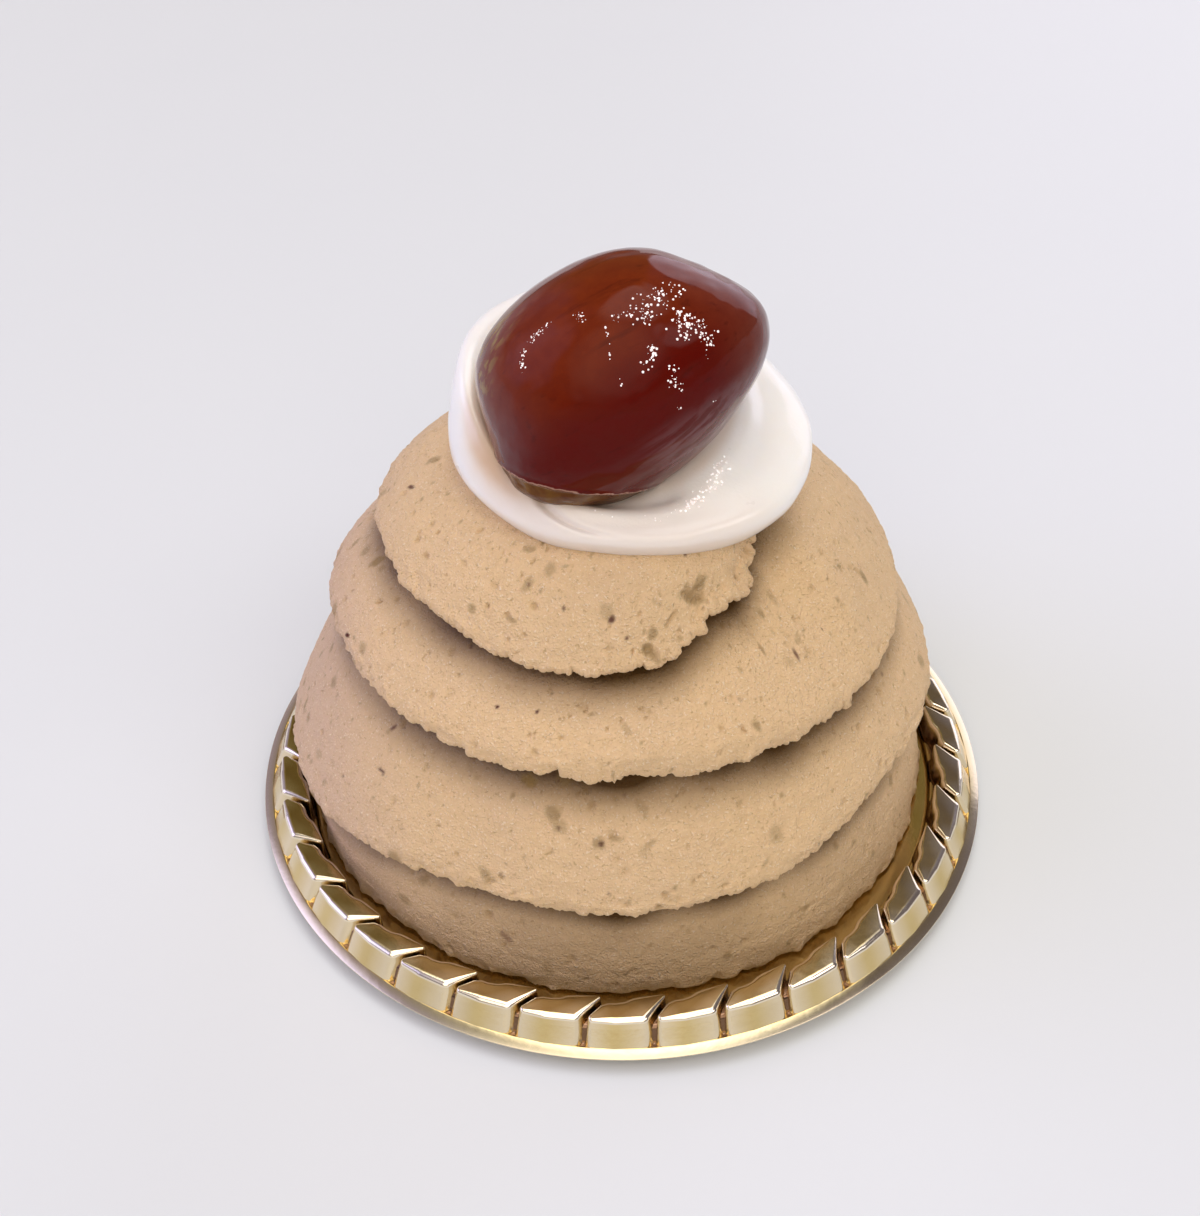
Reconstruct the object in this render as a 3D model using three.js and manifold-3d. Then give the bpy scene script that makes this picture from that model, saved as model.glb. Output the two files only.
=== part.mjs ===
// Mont blanc on its gold tray: a dome of chestnut paste wound from one broad flat ribbon,
// a dollop of whipped cream on top and a candied chestnut pressed into the cream.
// Millimetres, +Z up. The origin is the middle of the tray's underside, and -Y is the front.
import * as THREE from 'three';
import { mergeVertices } from 'three/addons/utils/BufferGeometryUtils.js';
import Module from 'manifold-3d';

const wasm = await Module();
wasm.setup();

// ---------------------------------------------------------------- driving dimensions

const GAP = 0.3;                 // clearance between pieces that lie on each other

// Tray: pressed gold sheet with a ring of skewed blocks and a flat flange.
const TRAY_RADIUS = 40;
const TRAY_SEGMENTS = 72;
const UNDERSIDE_RADIUS = 34.5;   // flat underside that the tray stands on
const TRAY_FLOOR = 0.8;          // top of the floor that the cake stands on
const FLANGE_UNDER = 1.7;        // the flange stays clear of the table
const FLANGE_TOP = 2.2;
const FLANGE_INNER = 38.9;
const GUTTER = 1.95;             // height between the blocks and round them
const WALL_RADIUS = 34.7;        // inner wall, from the floor up to the blocks
const SHEET_ROUND = 0.3;         // rounding of the sheet's bends
const BLOCK_TOP = 5.0;
const BLOCK_COUNT = 36;
const BLOCK_EDGE = 0.4;          // rounding round the top of a block
const SHOULDER_LEAN = 0.15;      // share of the faces' lean just below that rounding
const OUTER_SLOPE = 1.3;         // how far a block's outer face leans out at its foot
const SIDE_DRAFT = 0.15;         // how far its other faces lean out
const FIRST_GROOVE = -136;      // degrees
const BLOCK_OUTLINE = [          // a block's top: radius, and degrees from the groove at its left
  [37.55, 0.7], [37.65, 5], [37.55, 9.3],                     // outer edge
  [35.2, 12.9], [34.95, 12.7],                                // pointed tip
  [34.95, 9.0], [35.1, 7.7], [35.45, 6.5], [35.6, 5.2],       // inner edge and its S-curve
  [35.6, 4.0], [35.9, 2.9],                                   // back to the groove
];
const OUTER_POINTS = 3;

// Ribbon of chestnut paste: where its free lower edge runs, turn by turn from the tray up.
const CAKE_AXIS = new THREE.Vector2(-0.6, 2.0);
const RIBBON_START = 20;         // degrees, anticlockwise from +X
const RIBBON_END = 1415;
const RIBBON_STEP = 5;           // degrees between two columns of points
const FACE_ROWS = 4;             // rows of points on the open face of a turn
const RIBBON_EDGE = [            // angle in degrees, radius and height of the lower edge
  [20, 34.2, 1.2], [180, 34.0, 1.2], [270, 34.0, 1.2], [380, 34.3, 1.2],
  [540, 35.5, 8.9], [570, 35.1, 9.9], [605, 33.0, 12.0], [630, 33.4, 12.0], [655, 33.0, 12.5],
  [685, 32.6, 14.2], [720, 34.3, 15.0], [810, 32.6, 20.6],
  [900, 29.6, 26.2], [945, 29.0, 26.7], [990, 29.0, 26.1], [1045, 28.7, 25.0],
  [1080, 29.5, 26.4], [1170, 28.0, 31.2],
  [1260, 24.0, 35.3], [1305, 22.9, 35.0], [1335, 23.4, 33.7], [1362, 22.0, 34.2],
  [1380, 19.5, 36.2], [1390, 18.8, 36.6], [1400, 16.9, 38.8], [1415, 14.2, 42.0],
];
const LEAN_AT_TOP = 40;          // degrees that the dome's wall leans back at LEAN_HEIGHT
const LEAN_HEIGHT = 35;
const LEAN_POWER = 1.3;          // how slowly that lean begins
const LIP_SECTION = [            // from the crevice under the edge, round the lip to the face:
  [2.2, 3.2, 2.8],               // rise above the edge, drop where the turn lies on the tray,
  [0.45, 1.45, 2.0],             // and depth behind the face
  [0, 1.0, 1.1],
  [0.2, 0.3, 0.3],
  [1.0, 0, 0],
];
const FACE_BULGE = 0.9;
const SPAN_FOR_BULGE = 10;       // width of a turn at which its face bulges in full
const LIFT_FOR_TUCK = 5;         // height above the floor at which the lip is fully free
const SPAN_FOR_LIP = 5;          // width of a turn at which its lip is fully thick
const TOP_RADIUS = 14.2;         // edge of the hollow in the top of the dome
const TOP_HEIGHT = 42.0;
const TOP_HOLLOW = 39.0;         // height of its middle

// Whipped cream: widest line and crest round its own axis.
const CREAM_AXIS = new THREE.Vector2(1.2, 1.6);
const CREAM_RADIUS = new THREE.Vector2(17.5, 16.2);
const CREAM_WIDEST = 42.4;       // height of the widest line in front
const CREAM_UNDER = 36;
const CREAM_CREST = 48.8;        // mean height of the crest
const CREAM_HOLLOW = 1.5;        // the middle lies this far below it
const CREAM_CREST_BACK = 3.6;    // it is low in front and high at the back
const CREAM_CREST_LEFT = 3.4;    // and higher at the left than at the right
const CREAM_WIDEST_RISE = 0.25;  // the widest line rises by this share of the crest's rise
const CREAM_SECTION = [          // share of the radius, share of the way up from the widest
  [0.55, 0, -4.9],               // line to the crest, and mm above that
  [0.8, 0, -3.4],
  [0.94, 0, -1.7],
  [1, 0, 0],
  [0.98, 0.45, 0],
  [0.89, 1, -1.0],
  [0.74, 1, 0],
  [0.4, 1, -0.8],
];

// Chestnut: half sizes along its own three axes, its outline, and how it lies.
const CHESTNUT_CENTRE = new THREE.Vector3(-0.3, -2.4, 52.6);
const CHESTNUT_LENGTH = 13.8;    // towards the tip, and towards the base
const CHESTNUT_DEPTH = 10.6;
const CHESTNUT_WIDTH = 11.9;
const CHESTNUT_TURN = 31.7;      // degrees from level, up to the right
const CHESTNUT_PITCH = 31.6;     // degrees that it leans back
const CHESTNUT_WAVES = [         // corners round the outline: how many, how high, where
  [3, 0.059, 53], [4, 0.012, 156], [5, 0.023, 59],
];

// Colours.
const GOLD = 0xc2a05a;
const PASTE = 0xd2b190;
const WHITE = 0xf6f0e6;
const NUT = 0x4a1208;

// ---------------------------------------------------------------- helpers

const radians = THREE.MathUtils.degToRad;
const smooth = (t) => THREE.MathUtils.smoothstep(t, 0, 1);

/** Cubic through the knots [x, value...], with slopes taken between the neighbours. */
function through(knots, column, x) {
  let i = 1;
  while (i < knots.length - 1 && x > knots[i][0]) i += 1;
  const slope = (k) => {
    const a = knots[Math.max(k - 1, 0)];
    const b = knots[Math.min(k + 1, knots.length - 1)];
    return (b[column] - a[column]) / (b[0] - a[0]);
  };
  const [left, right] = [knots[i - 1], knots[i]];
  const width = right[0] - left[0];
  const t = THREE.MathUtils.clamp((x - left[0]) / width, 0, 1);
  const rise = t * t * (3 - 2 * t);
  return left[column] * (1 - rise) + right[column] * rise
    + width * slope(i - 1) * t * (1 - t) * (1 - t)
    - width * slope(i) * t * t * (1 - t);
}

/** A manifold solid from vertices (Vector3) and triangles, with empty triangles left out. */
function solidOf(vertices, triangles) {
  const full = triangles.filter(([a, b, c]) => a !== b && b !== c && c !== a);
  let volume = 0;
  for (const [a, b, c] of full) {
    volume += vertices[a].dot(new THREE.Vector3().crossVectors(vertices[b], vertices[c]));
  }
  const outward = volume > 0 ? full : full.map(([a, b, c]) => [a, c, b]);
  return new wasm.Manifold(new wasm.Mesh({
    numProp: 3,
    vertProperties: new Float32Array(vertices.flatMap((v) => v.toArray())),
    triVerts: new Uint32Array(outward.flat()),
  }));
}

/** A manifold solid from a closed three.js geometry. */
function solidOfGeometry(geometry) {
  const bare = geometry.clone();
  bare.deleteAttribute('normal');
  bare.deleteAttribute('uv');
  const merged = mergeVertices(bare, 1e-4);
  const position = merged.getAttribute('position');
  const vertices = Array.from({ length: position.count },
    (_, i) => new THREE.Vector3().fromBufferAttribute(position, i));
  const index = Array.from(merged.getIndex().array);
  const triangles = [];
  for (let i = 0; i < index.length; i += 3) triangles.push(index.slice(i, i + 3));
  return solidOf(vertices, triangles);
}

/** A three.js geometry from a manifold solid. */
function geometryOf(solid) {
  const { vertProperties, triVerts } = solid.getMesh();
  const geometry = new THREE.BufferGeometry();
  geometry.setAttribute('position', new THREE.BufferAttribute(vertProperties, 3));
  geometry.setIndex(new THREE.BufferAttribute(triVerts, 1));
  geometry.computeVertexNormals();
  return geometry;
}

/** The largest shell of a solid: scraps are dropped and sealed hollows filled. */
function mainShell(solid) {
  return solid.decompose().reduce((best, shell) => (shell.volume() > best.volume() ? shell : best));
}

/** A closed surface from rings of equal length, with a fan to a point at each end. */
function ringsToSolid(first, rings, last) {
  const count = rings[0].length;
  const vertices = [first, ...rings.flat(), last];
  const at = (ring, i) => 1 + ring * count + (i % count);
  const triangles = [];
  for (let i = 0; i < count; i += 1) {
    triangles.push([0, at(0, i + 1), at(0, i)]);
    for (let ring = 0; ring < rings.length - 1; ring += 1) {
      triangles.push([at(ring, i), at(ring, i + 1), at(ring + 1, i + 1)]);
      triangles.push([at(ring, i), at(ring + 1, i + 1), at(ring + 1, i)]);
    }
    triangles.push([vertices.length - 1, at(rings.length - 1, i), at(rings.length - 1, i + 1)]);
  }
  return solidOf(vertices, triangles);
}

// ---------------------------------------------------------------- tray

/** One block, from its foot in the gutter to its flat top with a rounded border. */
function trayBlock(groove) {
  const top = BLOCK_OUTLINE.map(([radius, degrees]) => {
    const angle = radians(groove + degrees);
    return new THREE.Vector3(radius * Math.cos(angle), radius * Math.sin(angle), BLOCK_TOP);
  });
  const middle = top.reduce((sum, p) => sum.add(p), new THREE.Vector3()).divideScalar(top.length);
  const ring = (height, lean) => top.map((p, i) => {
    const away = p.clone().sub(middle).setZ(0).normalize();
    const outer = i < OUTER_POINTS ? p.clone().setZ(0).normalize().multiplyScalar(OUTER_SLOPE) : null;
    const shift = outer ?? away.clone().multiplyScalar(SIDE_DRAFT);
    const inset = away.multiplyScalar(lean < 0 ? lean * BLOCK_EDGE : 0);
    return p.clone().add(shift.multiplyScalar(Math.max(lean, 0))).add(inset).setZ(height);
  });
  const foot = FLANGE_TOP - GAP;
  return ringsToSolid(
    middle.clone().setZ(foot),
    [ring(foot, 1), ring(BLOCK_TOP - BLOCK_EDGE, SHOULDER_LEAN), ring(BLOCK_TOP, -1)],
    middle.clone().setZ(BLOCK_TOP),
  );
}

/** The pressed sheet as a turned plate, with the ring of blocks joined on. */
function tray() {
  const profile = [
    [0, 0], [UNDERSIDE_RADIUS, 0], [UNDERSIDE_RADIUS + 3 * SHEET_ROUND, FLANGE_UNDER],
    [TRAY_RADIUS - SHEET_ROUND, FLANGE_UNDER], [TRAY_RADIUS, (FLANGE_UNDER + FLANGE_TOP) / 2],
    [TRAY_RADIUS - SHEET_ROUND, FLANGE_TOP], [FLANGE_INNER, FLANGE_TOP],
    [FLANGE_INNER - SHEET_ROUND, GUTTER], [WALL_RADIUS + SHEET_ROUND, GUTTER],
    [WALL_RADIUS, TRAY_FLOOR + SHEET_ROUND], [WALL_RADIUS - SHEET_ROUND, TRAY_FLOOR],
    [0, TRAY_FLOOR],
  ].map(([radius, height]) => new THREE.Vector2(radius, height));
  const plate = new THREE.LatheGeometry(profile, TRAY_SEGMENTS).rotateX(Math.PI / 2);
  let solid = solidOfGeometry(plate);
  for (let i = 0; i < BLOCK_COUNT; i += 1) {
    solid = solid.add(trayBlock(FIRST_GROOVE + (360 / BLOCK_COUNT) * i));
  }
  return solid;
}

// ---------------------------------------------------------------- ribbon dome

/** The soft paste gives way where it meets the tray's wall and blocks, and overhangs above them. */
function insideTray(point) {
  const room = WALL_RADIUS - GAP + Math.max(0, point.z - BLOCK_TOP - GAP);
  const radius = Math.hypot(point.x, point.y);
  const share = Math.min(1, room / radius);
  return point.set(point.x * share, point.y * share, point.z);
}

/** The ribbon's lower edge at an angle in degrees, grown outwards by `grow`. */
function edgePoint(angle, grow) {
  const radius = through(RIBBON_EDGE, 1, angle) + grow;
  const height = through(RIBBON_EDGE, 2, angle) + grow;
  return new THREE.Vector3(
    CAKE_AXIS.x + radius * Math.cos(radians(angle)),
    CAKE_AXIS.y + radius * Math.sin(radians(angle)),
    height,
  );
}

/** The rim of the hollow on top, above the last turn. */
function topPoint(angle, grow) {
  return new THREE.Vector3(
    CAKE_AXIS.x + (TOP_RADIUS + grow) * Math.cos(radians(angle)),
    CAKE_AXIS.y + (TOP_RADIUS + grow) * Math.sin(radians(angle)),
    TOP_HEIGHT + grow,
  );
}

/** The dome's outward normal at a point: it leans back more and more with the height. */
function domeNormal(point, angle) {
  const lean = radians(LEAN_AT_TOP) * (Math.max(point.z, 0) / LEAN_HEIGHT) ** LEAN_POWER;
  return new THREE.Vector3(
    Math.cos(lean) * Math.cos(radians(angle)),
    Math.cos(lean) * Math.sin(radians(angle)),
    Math.sin(lean),
  );
}

/**
 * The ribbon as one column of points across it: from the crevice under its lower edge, round
 * the free lip and up the face to where the next turn covers it.
 */
function ribbonColumn(angle, step, grow, floor) {
  const edge = edgePoint(angle, grow);
  const above = (a) => (a + 360 <= RIBBON_END ? edgePoint(a + 360, grow) : topPoint(a, grow));
  const upper = above(angle);
  const normal = domeNormal(edge, angle);
  const along = edgePoint(Math.min(angle + step, RIBBON_END), grow)
    .sub(edgePoint(Math.max(angle - step, RIBBON_START), grow));
  const across = new THREE.Vector3().crossVectors(normal, along).normalize();
  const free = smooth((edge.z - grow - RIBBON_EDGE[0][2]) / LIFT_FOR_TUCK);
  const full = smooth(edge.distanceTo(upper) / SPAN_FOR_LIP);
  const lip = LIP_SECTION.map(([rise, drop, depth]) => {
    const p = edge.clone()
      .addScaledVector(across, (rise - drop * (1 - free)) * full)
      .addScaledVector(normal, -depth * full);
    return insideTray(p.setZ(Math.max(p.z, floor)));
  });
  return { lip, upper, normal };
}

/** The whole dome as one closed solid, from the floor of the tray to the hollow in its top. */
function ribbonDome(step, faceRows, grow = 0) {
  const floor = TRAY_FLOOR + GAP - grow;
  const perTurn = 360 / step;
  const last = (RIBBON_END - RIBBON_START) / step;
  const columns = Array.from({ length: last + 1 },
    (_, i) => ribbonColumn(RIBBON_START + i * step, step, grow, floor));
  const rows = columns[0].lip.length + faceRows;
  const vertices = [];
  const index = columns.map(() => []);
  columns.forEach((column, i) => {
    const root = columns[i + perTurn]?.lip[0] ?? column.upper;
    const start = column.lip.at(-1);
    const face = Array.from({ length: faceRows }, (_, k) => {
      const t = (k + 1) / (faceRows + 1);
      const bulge = 4 * t * (1 - t) * Math.min(1, start.distanceTo(root) / SPAN_FOR_BULGE);
      const point = start.clone().lerp(root, t);
      return insideTray(point.addScaledVector(column.normal, FACE_BULGE * bulge));
    });
    [...column.lip, ...face].forEach((point, k) => {
      index[i][k] = vertices.push(point) - 1;
    });
    if (i + perTurn > last) index[i][rows] = vertices.push(root) - 1;
  });
  // A turn's upper border is the crevice of the next turn, and both ends close to a point.
  for (let i = 0; i + perTurn <= last; i += 1) index[i][rows] = index[i + perTurn][0];
  index[0].fill(index[perTurn][0]);
  index[last].fill(index[last][0]);
  index[last - perTurn][rows] = index[last][0];
  const triangles = [];
  for (let i = 0; i < last; i += 1) {
    for (let k = 0; k < rows; k += 1) {
      const [a, b, c, d] = [index[i][k], index[i + 1][k], index[i + 1][k + 1], index[i][k + 1]];
      triangles.push([a, b, c], [a, c, d]);
    }
  }
  const under = vertices.push(new THREE.Vector3(CAKE_AXIS.x, CAKE_AXIS.y, floor)) - 1;
  for (let i = 0; i < perTurn; i += 1) triangles.push([under, index[i + 1][0], index[i][0]]);
  const hollow = vertices.push(new THREE.Vector3(CAKE_AXIS.x, CAKE_AXIS.y, TOP_HOLLOW + grow)) - 1;
  for (let i = last - perTurn; i < last; i += 1) {
    triangles.push([hollow, index[i][rows], index[i + 1][rows]]);
  }
  return solidOf(vertices, triangles);
}

// ---------------------------------------------------------------- chestnut

/** The chestnut's own axes: base to tip, flat side, and towards the front. */
function chestnutAxes() {
  const [turn, pitch] = [radians(CHESTNUT_TURN), radians(CHESTNUT_PITCH)];
  const up = new THREE.Vector3(0, Math.sin(pitch), Math.cos(pitch));
  const right = new THREE.Vector3(1, 0, 0);
  const tip = right.clone().multiplyScalar(Math.cos(turn)).addScaledVector(up, Math.sin(turn));
  const flat = right.clone().multiplyScalar(Math.sin(turn)).addScaledVector(up, -Math.cos(turn));
  const front = new THREE.Vector3().crossVectors(tip, flat).negate();
  return { tip, flat, front };
}

/** An ellipsoid whose outline, seen from the front, swells into a few blunt corners. */
function chestnut(ringCount, segments, grow = 0) {
  const { tip, flat, front } = chestnutAxes();
  const place = (latitude, around) => {
    const level = Math.cos(latitude);
    const waves = CHESTNUT_WAVES.map(([n, high, phase]) => high * Math.cos(n * around - radians(phase)));
    const swell = 1 + level * level * waves.reduce((sum, wave) => sum + wave, 0);
    return CHESTNUT_CENTRE.clone()
      .addScaledVector(tip, (CHESTNUT_LENGTH + grow) * swell * level * Math.cos(around))
      .addScaledVector(flat, (CHESTNUT_DEPTH + grow) * swell * level * Math.sin(around))
      .addScaledVector(front, (CHESTNUT_WIDTH + grow) * Math.sin(latitude));
  };
  const rings = Array.from({ length: ringCount }, (_, k) => {
    const latitude = Math.PI * ((k + 1) / (ringCount + 1) - 0.5);
    return Array.from({ length: segments }, (__, i) => place(latitude, (i / segments) * 2 * Math.PI));
  });
  return ringsToSolid(place(-Math.PI / 2, 0), rings, place(Math.PI / 2, 0));
}

// ---------------------------------------------------------------- whipped cream

/** A dollop with a rounded foot, whose crest rises round the chestnut towards the back. */
function dollop(segments) {
  const angles = Array.from({ length: segments }, (_, i) => (i / segments) * 2 * Math.PI);
  const rings = CREAM_SECTION.map(([share, way, above]) => angles.map((angle) => {
    const rise = CREAM_CREST_BACK * Math.sin(angle) - CREAM_CREST_LEFT * Math.cos(angle);
    const crest = CREAM_CREST + rise;
    const widest = CREAM_WIDEST + CREAM_WIDEST_RISE * (rise + CREAM_CREST_BACK);
    return new THREE.Vector3(
      CREAM_AXIS.x + share * CREAM_RADIUS.x * Math.cos(angle),
      CREAM_AXIS.y + share * CREAM_RADIUS.y * Math.sin(angle),
      widest + way * (crest - widest) + above,
    );
  }));
  return ringsToSolid(
    new THREE.Vector3(CREAM_AXIS.x, CREAM_AXIS.y, CREAM_UNDER),
    rings,
    new THREE.Vector3(CREAM_AXIS.x, CREAM_AXIS.y, CREAM_CREST - CREAM_HOLLOW),
  );
}

/** The dollop, cut to fit over the dome and round the chestnut. */
function whippedCream() {
  return mainShell(dollop(40)
    .subtract(ribbonDome(RIBBON_STEP, FACE_ROWS, GAP))
    .subtract(chestnut(13, 24, GAP)));
}

// ---------------------------------------------------------------- the object

/** One named sub-part with a material of its own. */
function piece(name, solid, color, roughness, metalness) {
  const mesh = new THREE.Mesh(
    geometryOf(solid),
    new THREE.MeshStandardMaterial({ color, roughness, metalness }),
  );
  mesh.name = name;
  return mesh;
}

const montBlanc = new THREE.Group();
montBlanc.add(
  piece('tray', tray(), GOLD, 0.25, 1),
  piece('chestnut_cream', ribbonDome(RIBBON_STEP, FACE_ROWS), PASTE, 0.75, 0),
  piece('whipped_cream', whippedCream(), WHITE, 0.4, 0),
  piece('chestnut', chestnut(15, 28), NUT, 0.15, 0),
);

export default montBlanc;
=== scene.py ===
"""The looks of a mont blanc on its gold tray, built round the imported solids.

Shapes are worked out in millimetres, +Z up and -Y the front, and go into the meshes in metres.
"""

import itertools
import math

import bpy
import numpy as np
from mathutils import Matrix, Vector
from mathutils.geometry import tessellate_polygon


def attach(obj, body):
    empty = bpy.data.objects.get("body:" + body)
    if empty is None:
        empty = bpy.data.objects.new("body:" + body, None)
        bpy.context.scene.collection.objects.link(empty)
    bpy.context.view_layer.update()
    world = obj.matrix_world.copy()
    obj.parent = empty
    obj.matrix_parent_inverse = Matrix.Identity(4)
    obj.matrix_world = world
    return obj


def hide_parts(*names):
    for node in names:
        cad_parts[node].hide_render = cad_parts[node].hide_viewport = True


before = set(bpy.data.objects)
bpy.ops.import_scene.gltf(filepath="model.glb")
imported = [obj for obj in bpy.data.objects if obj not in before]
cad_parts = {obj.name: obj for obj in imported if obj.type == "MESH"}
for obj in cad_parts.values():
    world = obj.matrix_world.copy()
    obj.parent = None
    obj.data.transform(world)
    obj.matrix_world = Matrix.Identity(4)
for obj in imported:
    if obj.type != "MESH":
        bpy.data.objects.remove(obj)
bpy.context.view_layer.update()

# ------------------------------------------------------------------ driving dimensions, in mm

MM = 0.001                       # metres in one of this script's units

# Tray
TRAY_RADIUS = 40.0
UNDERSIDE_RADIUS = 34.5
TRAY_FLOOR = 0.8
FLANGE_UNDER = 1.7
FLANGE_TOP = 2.2
FLANGE_INNER = 38.9
FLANGE_FALL = 0.34               # how far the flange slopes down to its edge
GUTTER = 1.95
GROOVE_FLOOR = 3.5               # between two blocks, where the sheet is drawn up highest
WALL_RADIUS = 34.7
SHEET_PROFILE = [                # radius, height, radius of the corner
    (0.0, 0.0, 0), (UNDERSIDE_RADIUS, 0.0, 0.3), (UNDERSIDE_RADIUS + 0.9, FLANGE_UNDER, 0.3),
    (TRAY_RADIUS, FLANGE_UNDER, 0.06), (TRAY_RADIUS, FLANGE_TOP - FLANGE_FALL, 0.08),
    (FLANGE_INNER + 0.1, FLANGE_TOP + 0.02, 0.15), (FLANGE_INNER - 0.1, GUTTER, 0.1),
    (38.4, GUTTER, 0.2), (37.6, GROOVE_FLOOR, 0.5), (36.1, GROOVE_FLOOR, 0.3),
    (35.6, GUTTER, 0.3), (WALL_RADIUS, GUTTER, 0.2), (WALL_RADIUS, TRAY_FLOOR, 0.4),
    (0.0, TRAY_FLOOR, 0),
]
SHEET_COLUMNS = 540
PROFILE_ARC = 6                  # points on each rounded corner of the sheet
RIM_SHINE = 0.6                  # how strong the painted highlight along the flange is
BLOCK_TOP = 4.8
BLOCK_COUNT = 36
BLOCK_OUTLINE = [                # radius, degrees from the groove, radius of the corner
    (37.85, 0.46, 0.45), (37.95, 5.0, 4.0), (37.85, 9.54, 0.8),
    (35.2, 12.9, 0.3), (34.95, 12.6, 0.25),
    (34.95, 9.0, 0.8), (35.1, 7.7, 0.8), (35.45, 6.5, 0.8), (35.6, 5.2, 0.8),
    (35.6, 4.0, 0.7), (35.9, 2.75, 0.65),
]
OUTER_CORNERS = 3                # the first ones, on the side towards the flange
BLOCK_ARC = 8                    # points on each corner of a block's outline
BLOCK_EDGE = 0.45                # radius of the bright rounding round a block's top
BLOCK_TIP_EDGE = {0: 0.6, 1: 1.25, 2: 1.25, 3: 0.35, 4: 0.3}     # shares of it, by corner
EDGE_STEPS = 7
SIDE_DRAFT = 0.15                # how far a block's sides lean outwards at the foot
OUTER_SLOPE = 1.0                # the same, added on the side towards the flange
SLOPE_AT_FOOT = 0.93             # share of the lean that is left above the fillet
FOOT_FILLET = 0.4
CORNER_SHINE = 0.45              # how strong the painted highlight on a block's two outer corners is
TOP_TONE = 0.45                  # how much of the painted shade of the grooves the blocks' tops take
FIRST_GROOVE = -136.0

# Ribbon of chestnut paste
CAKE_AXIS = np.array([-0.6, 2.0])
RIBBON_START = 20.0
RIBBON_END = 1415.0
RIBBON_EDGE = np.array([         # angle in degrees, radius and height of the lower edge
    (20, 34.2, 1.2), (180, 34.0, 1.2), (270, 34.0, 1.2), (380, 34.3, 1.2),
    (540, 35.5, 8.9), (570, 35.1, 9.9), (605, 33.0, 12.0), (630, 33.4, 12.0),
    (655, 33.0, 12.5), (685, 32.6, 14.2), (720, 34.3, 15.0), (810, 32.6, 20.6),
    (900, 29.6, 26.2), (945, 29.0, 26.7), (990, 29.0, 26.1), (1045, 28.7, 25.0),
    (1080, 29.5, 26.4), (1170, 28.0, 31.2),
    (1260, 24.0, 35.3), (1305, 22.9, 35.0), (1335, 23.4, 33.7), (1362, 22.0, 34.2),
    (1380, 19.5, 36.2), (1390, 18.8, 36.6), (1400, 16.9, 38.8), (1415, 14.2, 42.0),
], float)
LEAN_AT_TOP = 40.0               # degrees that the face leans inwards at the next height
LEAN_HEIGHT = 35.0
LEAN_POWER = 1.3
LIP_SECTION = np.array([         # rise above the edge, drop where it lies on the tray, depth
    (2.7, 3.6, 3.9), (1.2, 2.1, 3.3), (0.3, 1.2, 2.0), (0.0, 0.9, 0.5), (0.35, 0.4, 0.1),
    (1.3, 0.0, 0.0),
])
BLUNT_SECTION = np.array([       # the same where the ribbon's cut edge stands upright
    (2.7, 3.6, 3.9), (1.1, 2.1, 3.5), (0.2, 1.2, 2.5), (0.0, 0.9, 1.0), (0.5, 0.4, 0.45),
    (2.0, 0.0, 0.05),
])
BLUNT_MIDDLE = 1002.0            # degrees along the ribbon
BLUNT_REACH = 48.0
FACE_BULGE = 0.9                 # how far the face swells between two lips
SPAN_FOR_BULGE = 10.0            # width of face above which it swells that far
LIFT_FOR_TUCK = 5.0              # height over the tray at which the lip hangs free
SPAN_FOR_LIP = 2.2               # width of face above which the lip is fully thick
SLOPE_STEP = 5.0                 # degrees to either side from which the edge's slope is taken
TOP_RADIUS = 14.2                # where the last turn's face ends, under the cream
TOP_HEIGHT = 42.0
TOP_HOLLOW = 39.0
COLUMNS_PER_DEGREE = 3
STRIP_ENDS = (20, 90, 450, 810, 1170, 1415)
KNOT_PLACES = np.array([0, 1.4, 2.6, 3.8, 4.4, 5.4, 7.8, 10.2, 12.6, 15.0, 17.4])
LOWEST_KNOT = 3                  # the one at the lip's lowest point
GAP = 0.3                        # between the paste and the tray
FLOOR = TRAY_FLOOR + GAP         # underside of the paste
TEAR_START = 1368                # degrees along the ribbon, where its torn end begins
TEAR_FADE = 8
FLAKES = (                       # of the lip: strength, seed, length in mm, depth of the notch
    (0.50, 3, 2.6, 0.35), (0.26, 5, 0.95, 0.5), (0.13, 8, 0.5, 0.5),
)
TORN_FLAKES = (1.1, 12, 1.9, 0.7)
TORN_SETBACK = 0.3
LIP_SOFTNESS = 1.0               # how far above the lip its flakes still move the face
CRUMB_STRENGTH = 0.35            # along the foot, which lies on the tray
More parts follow.
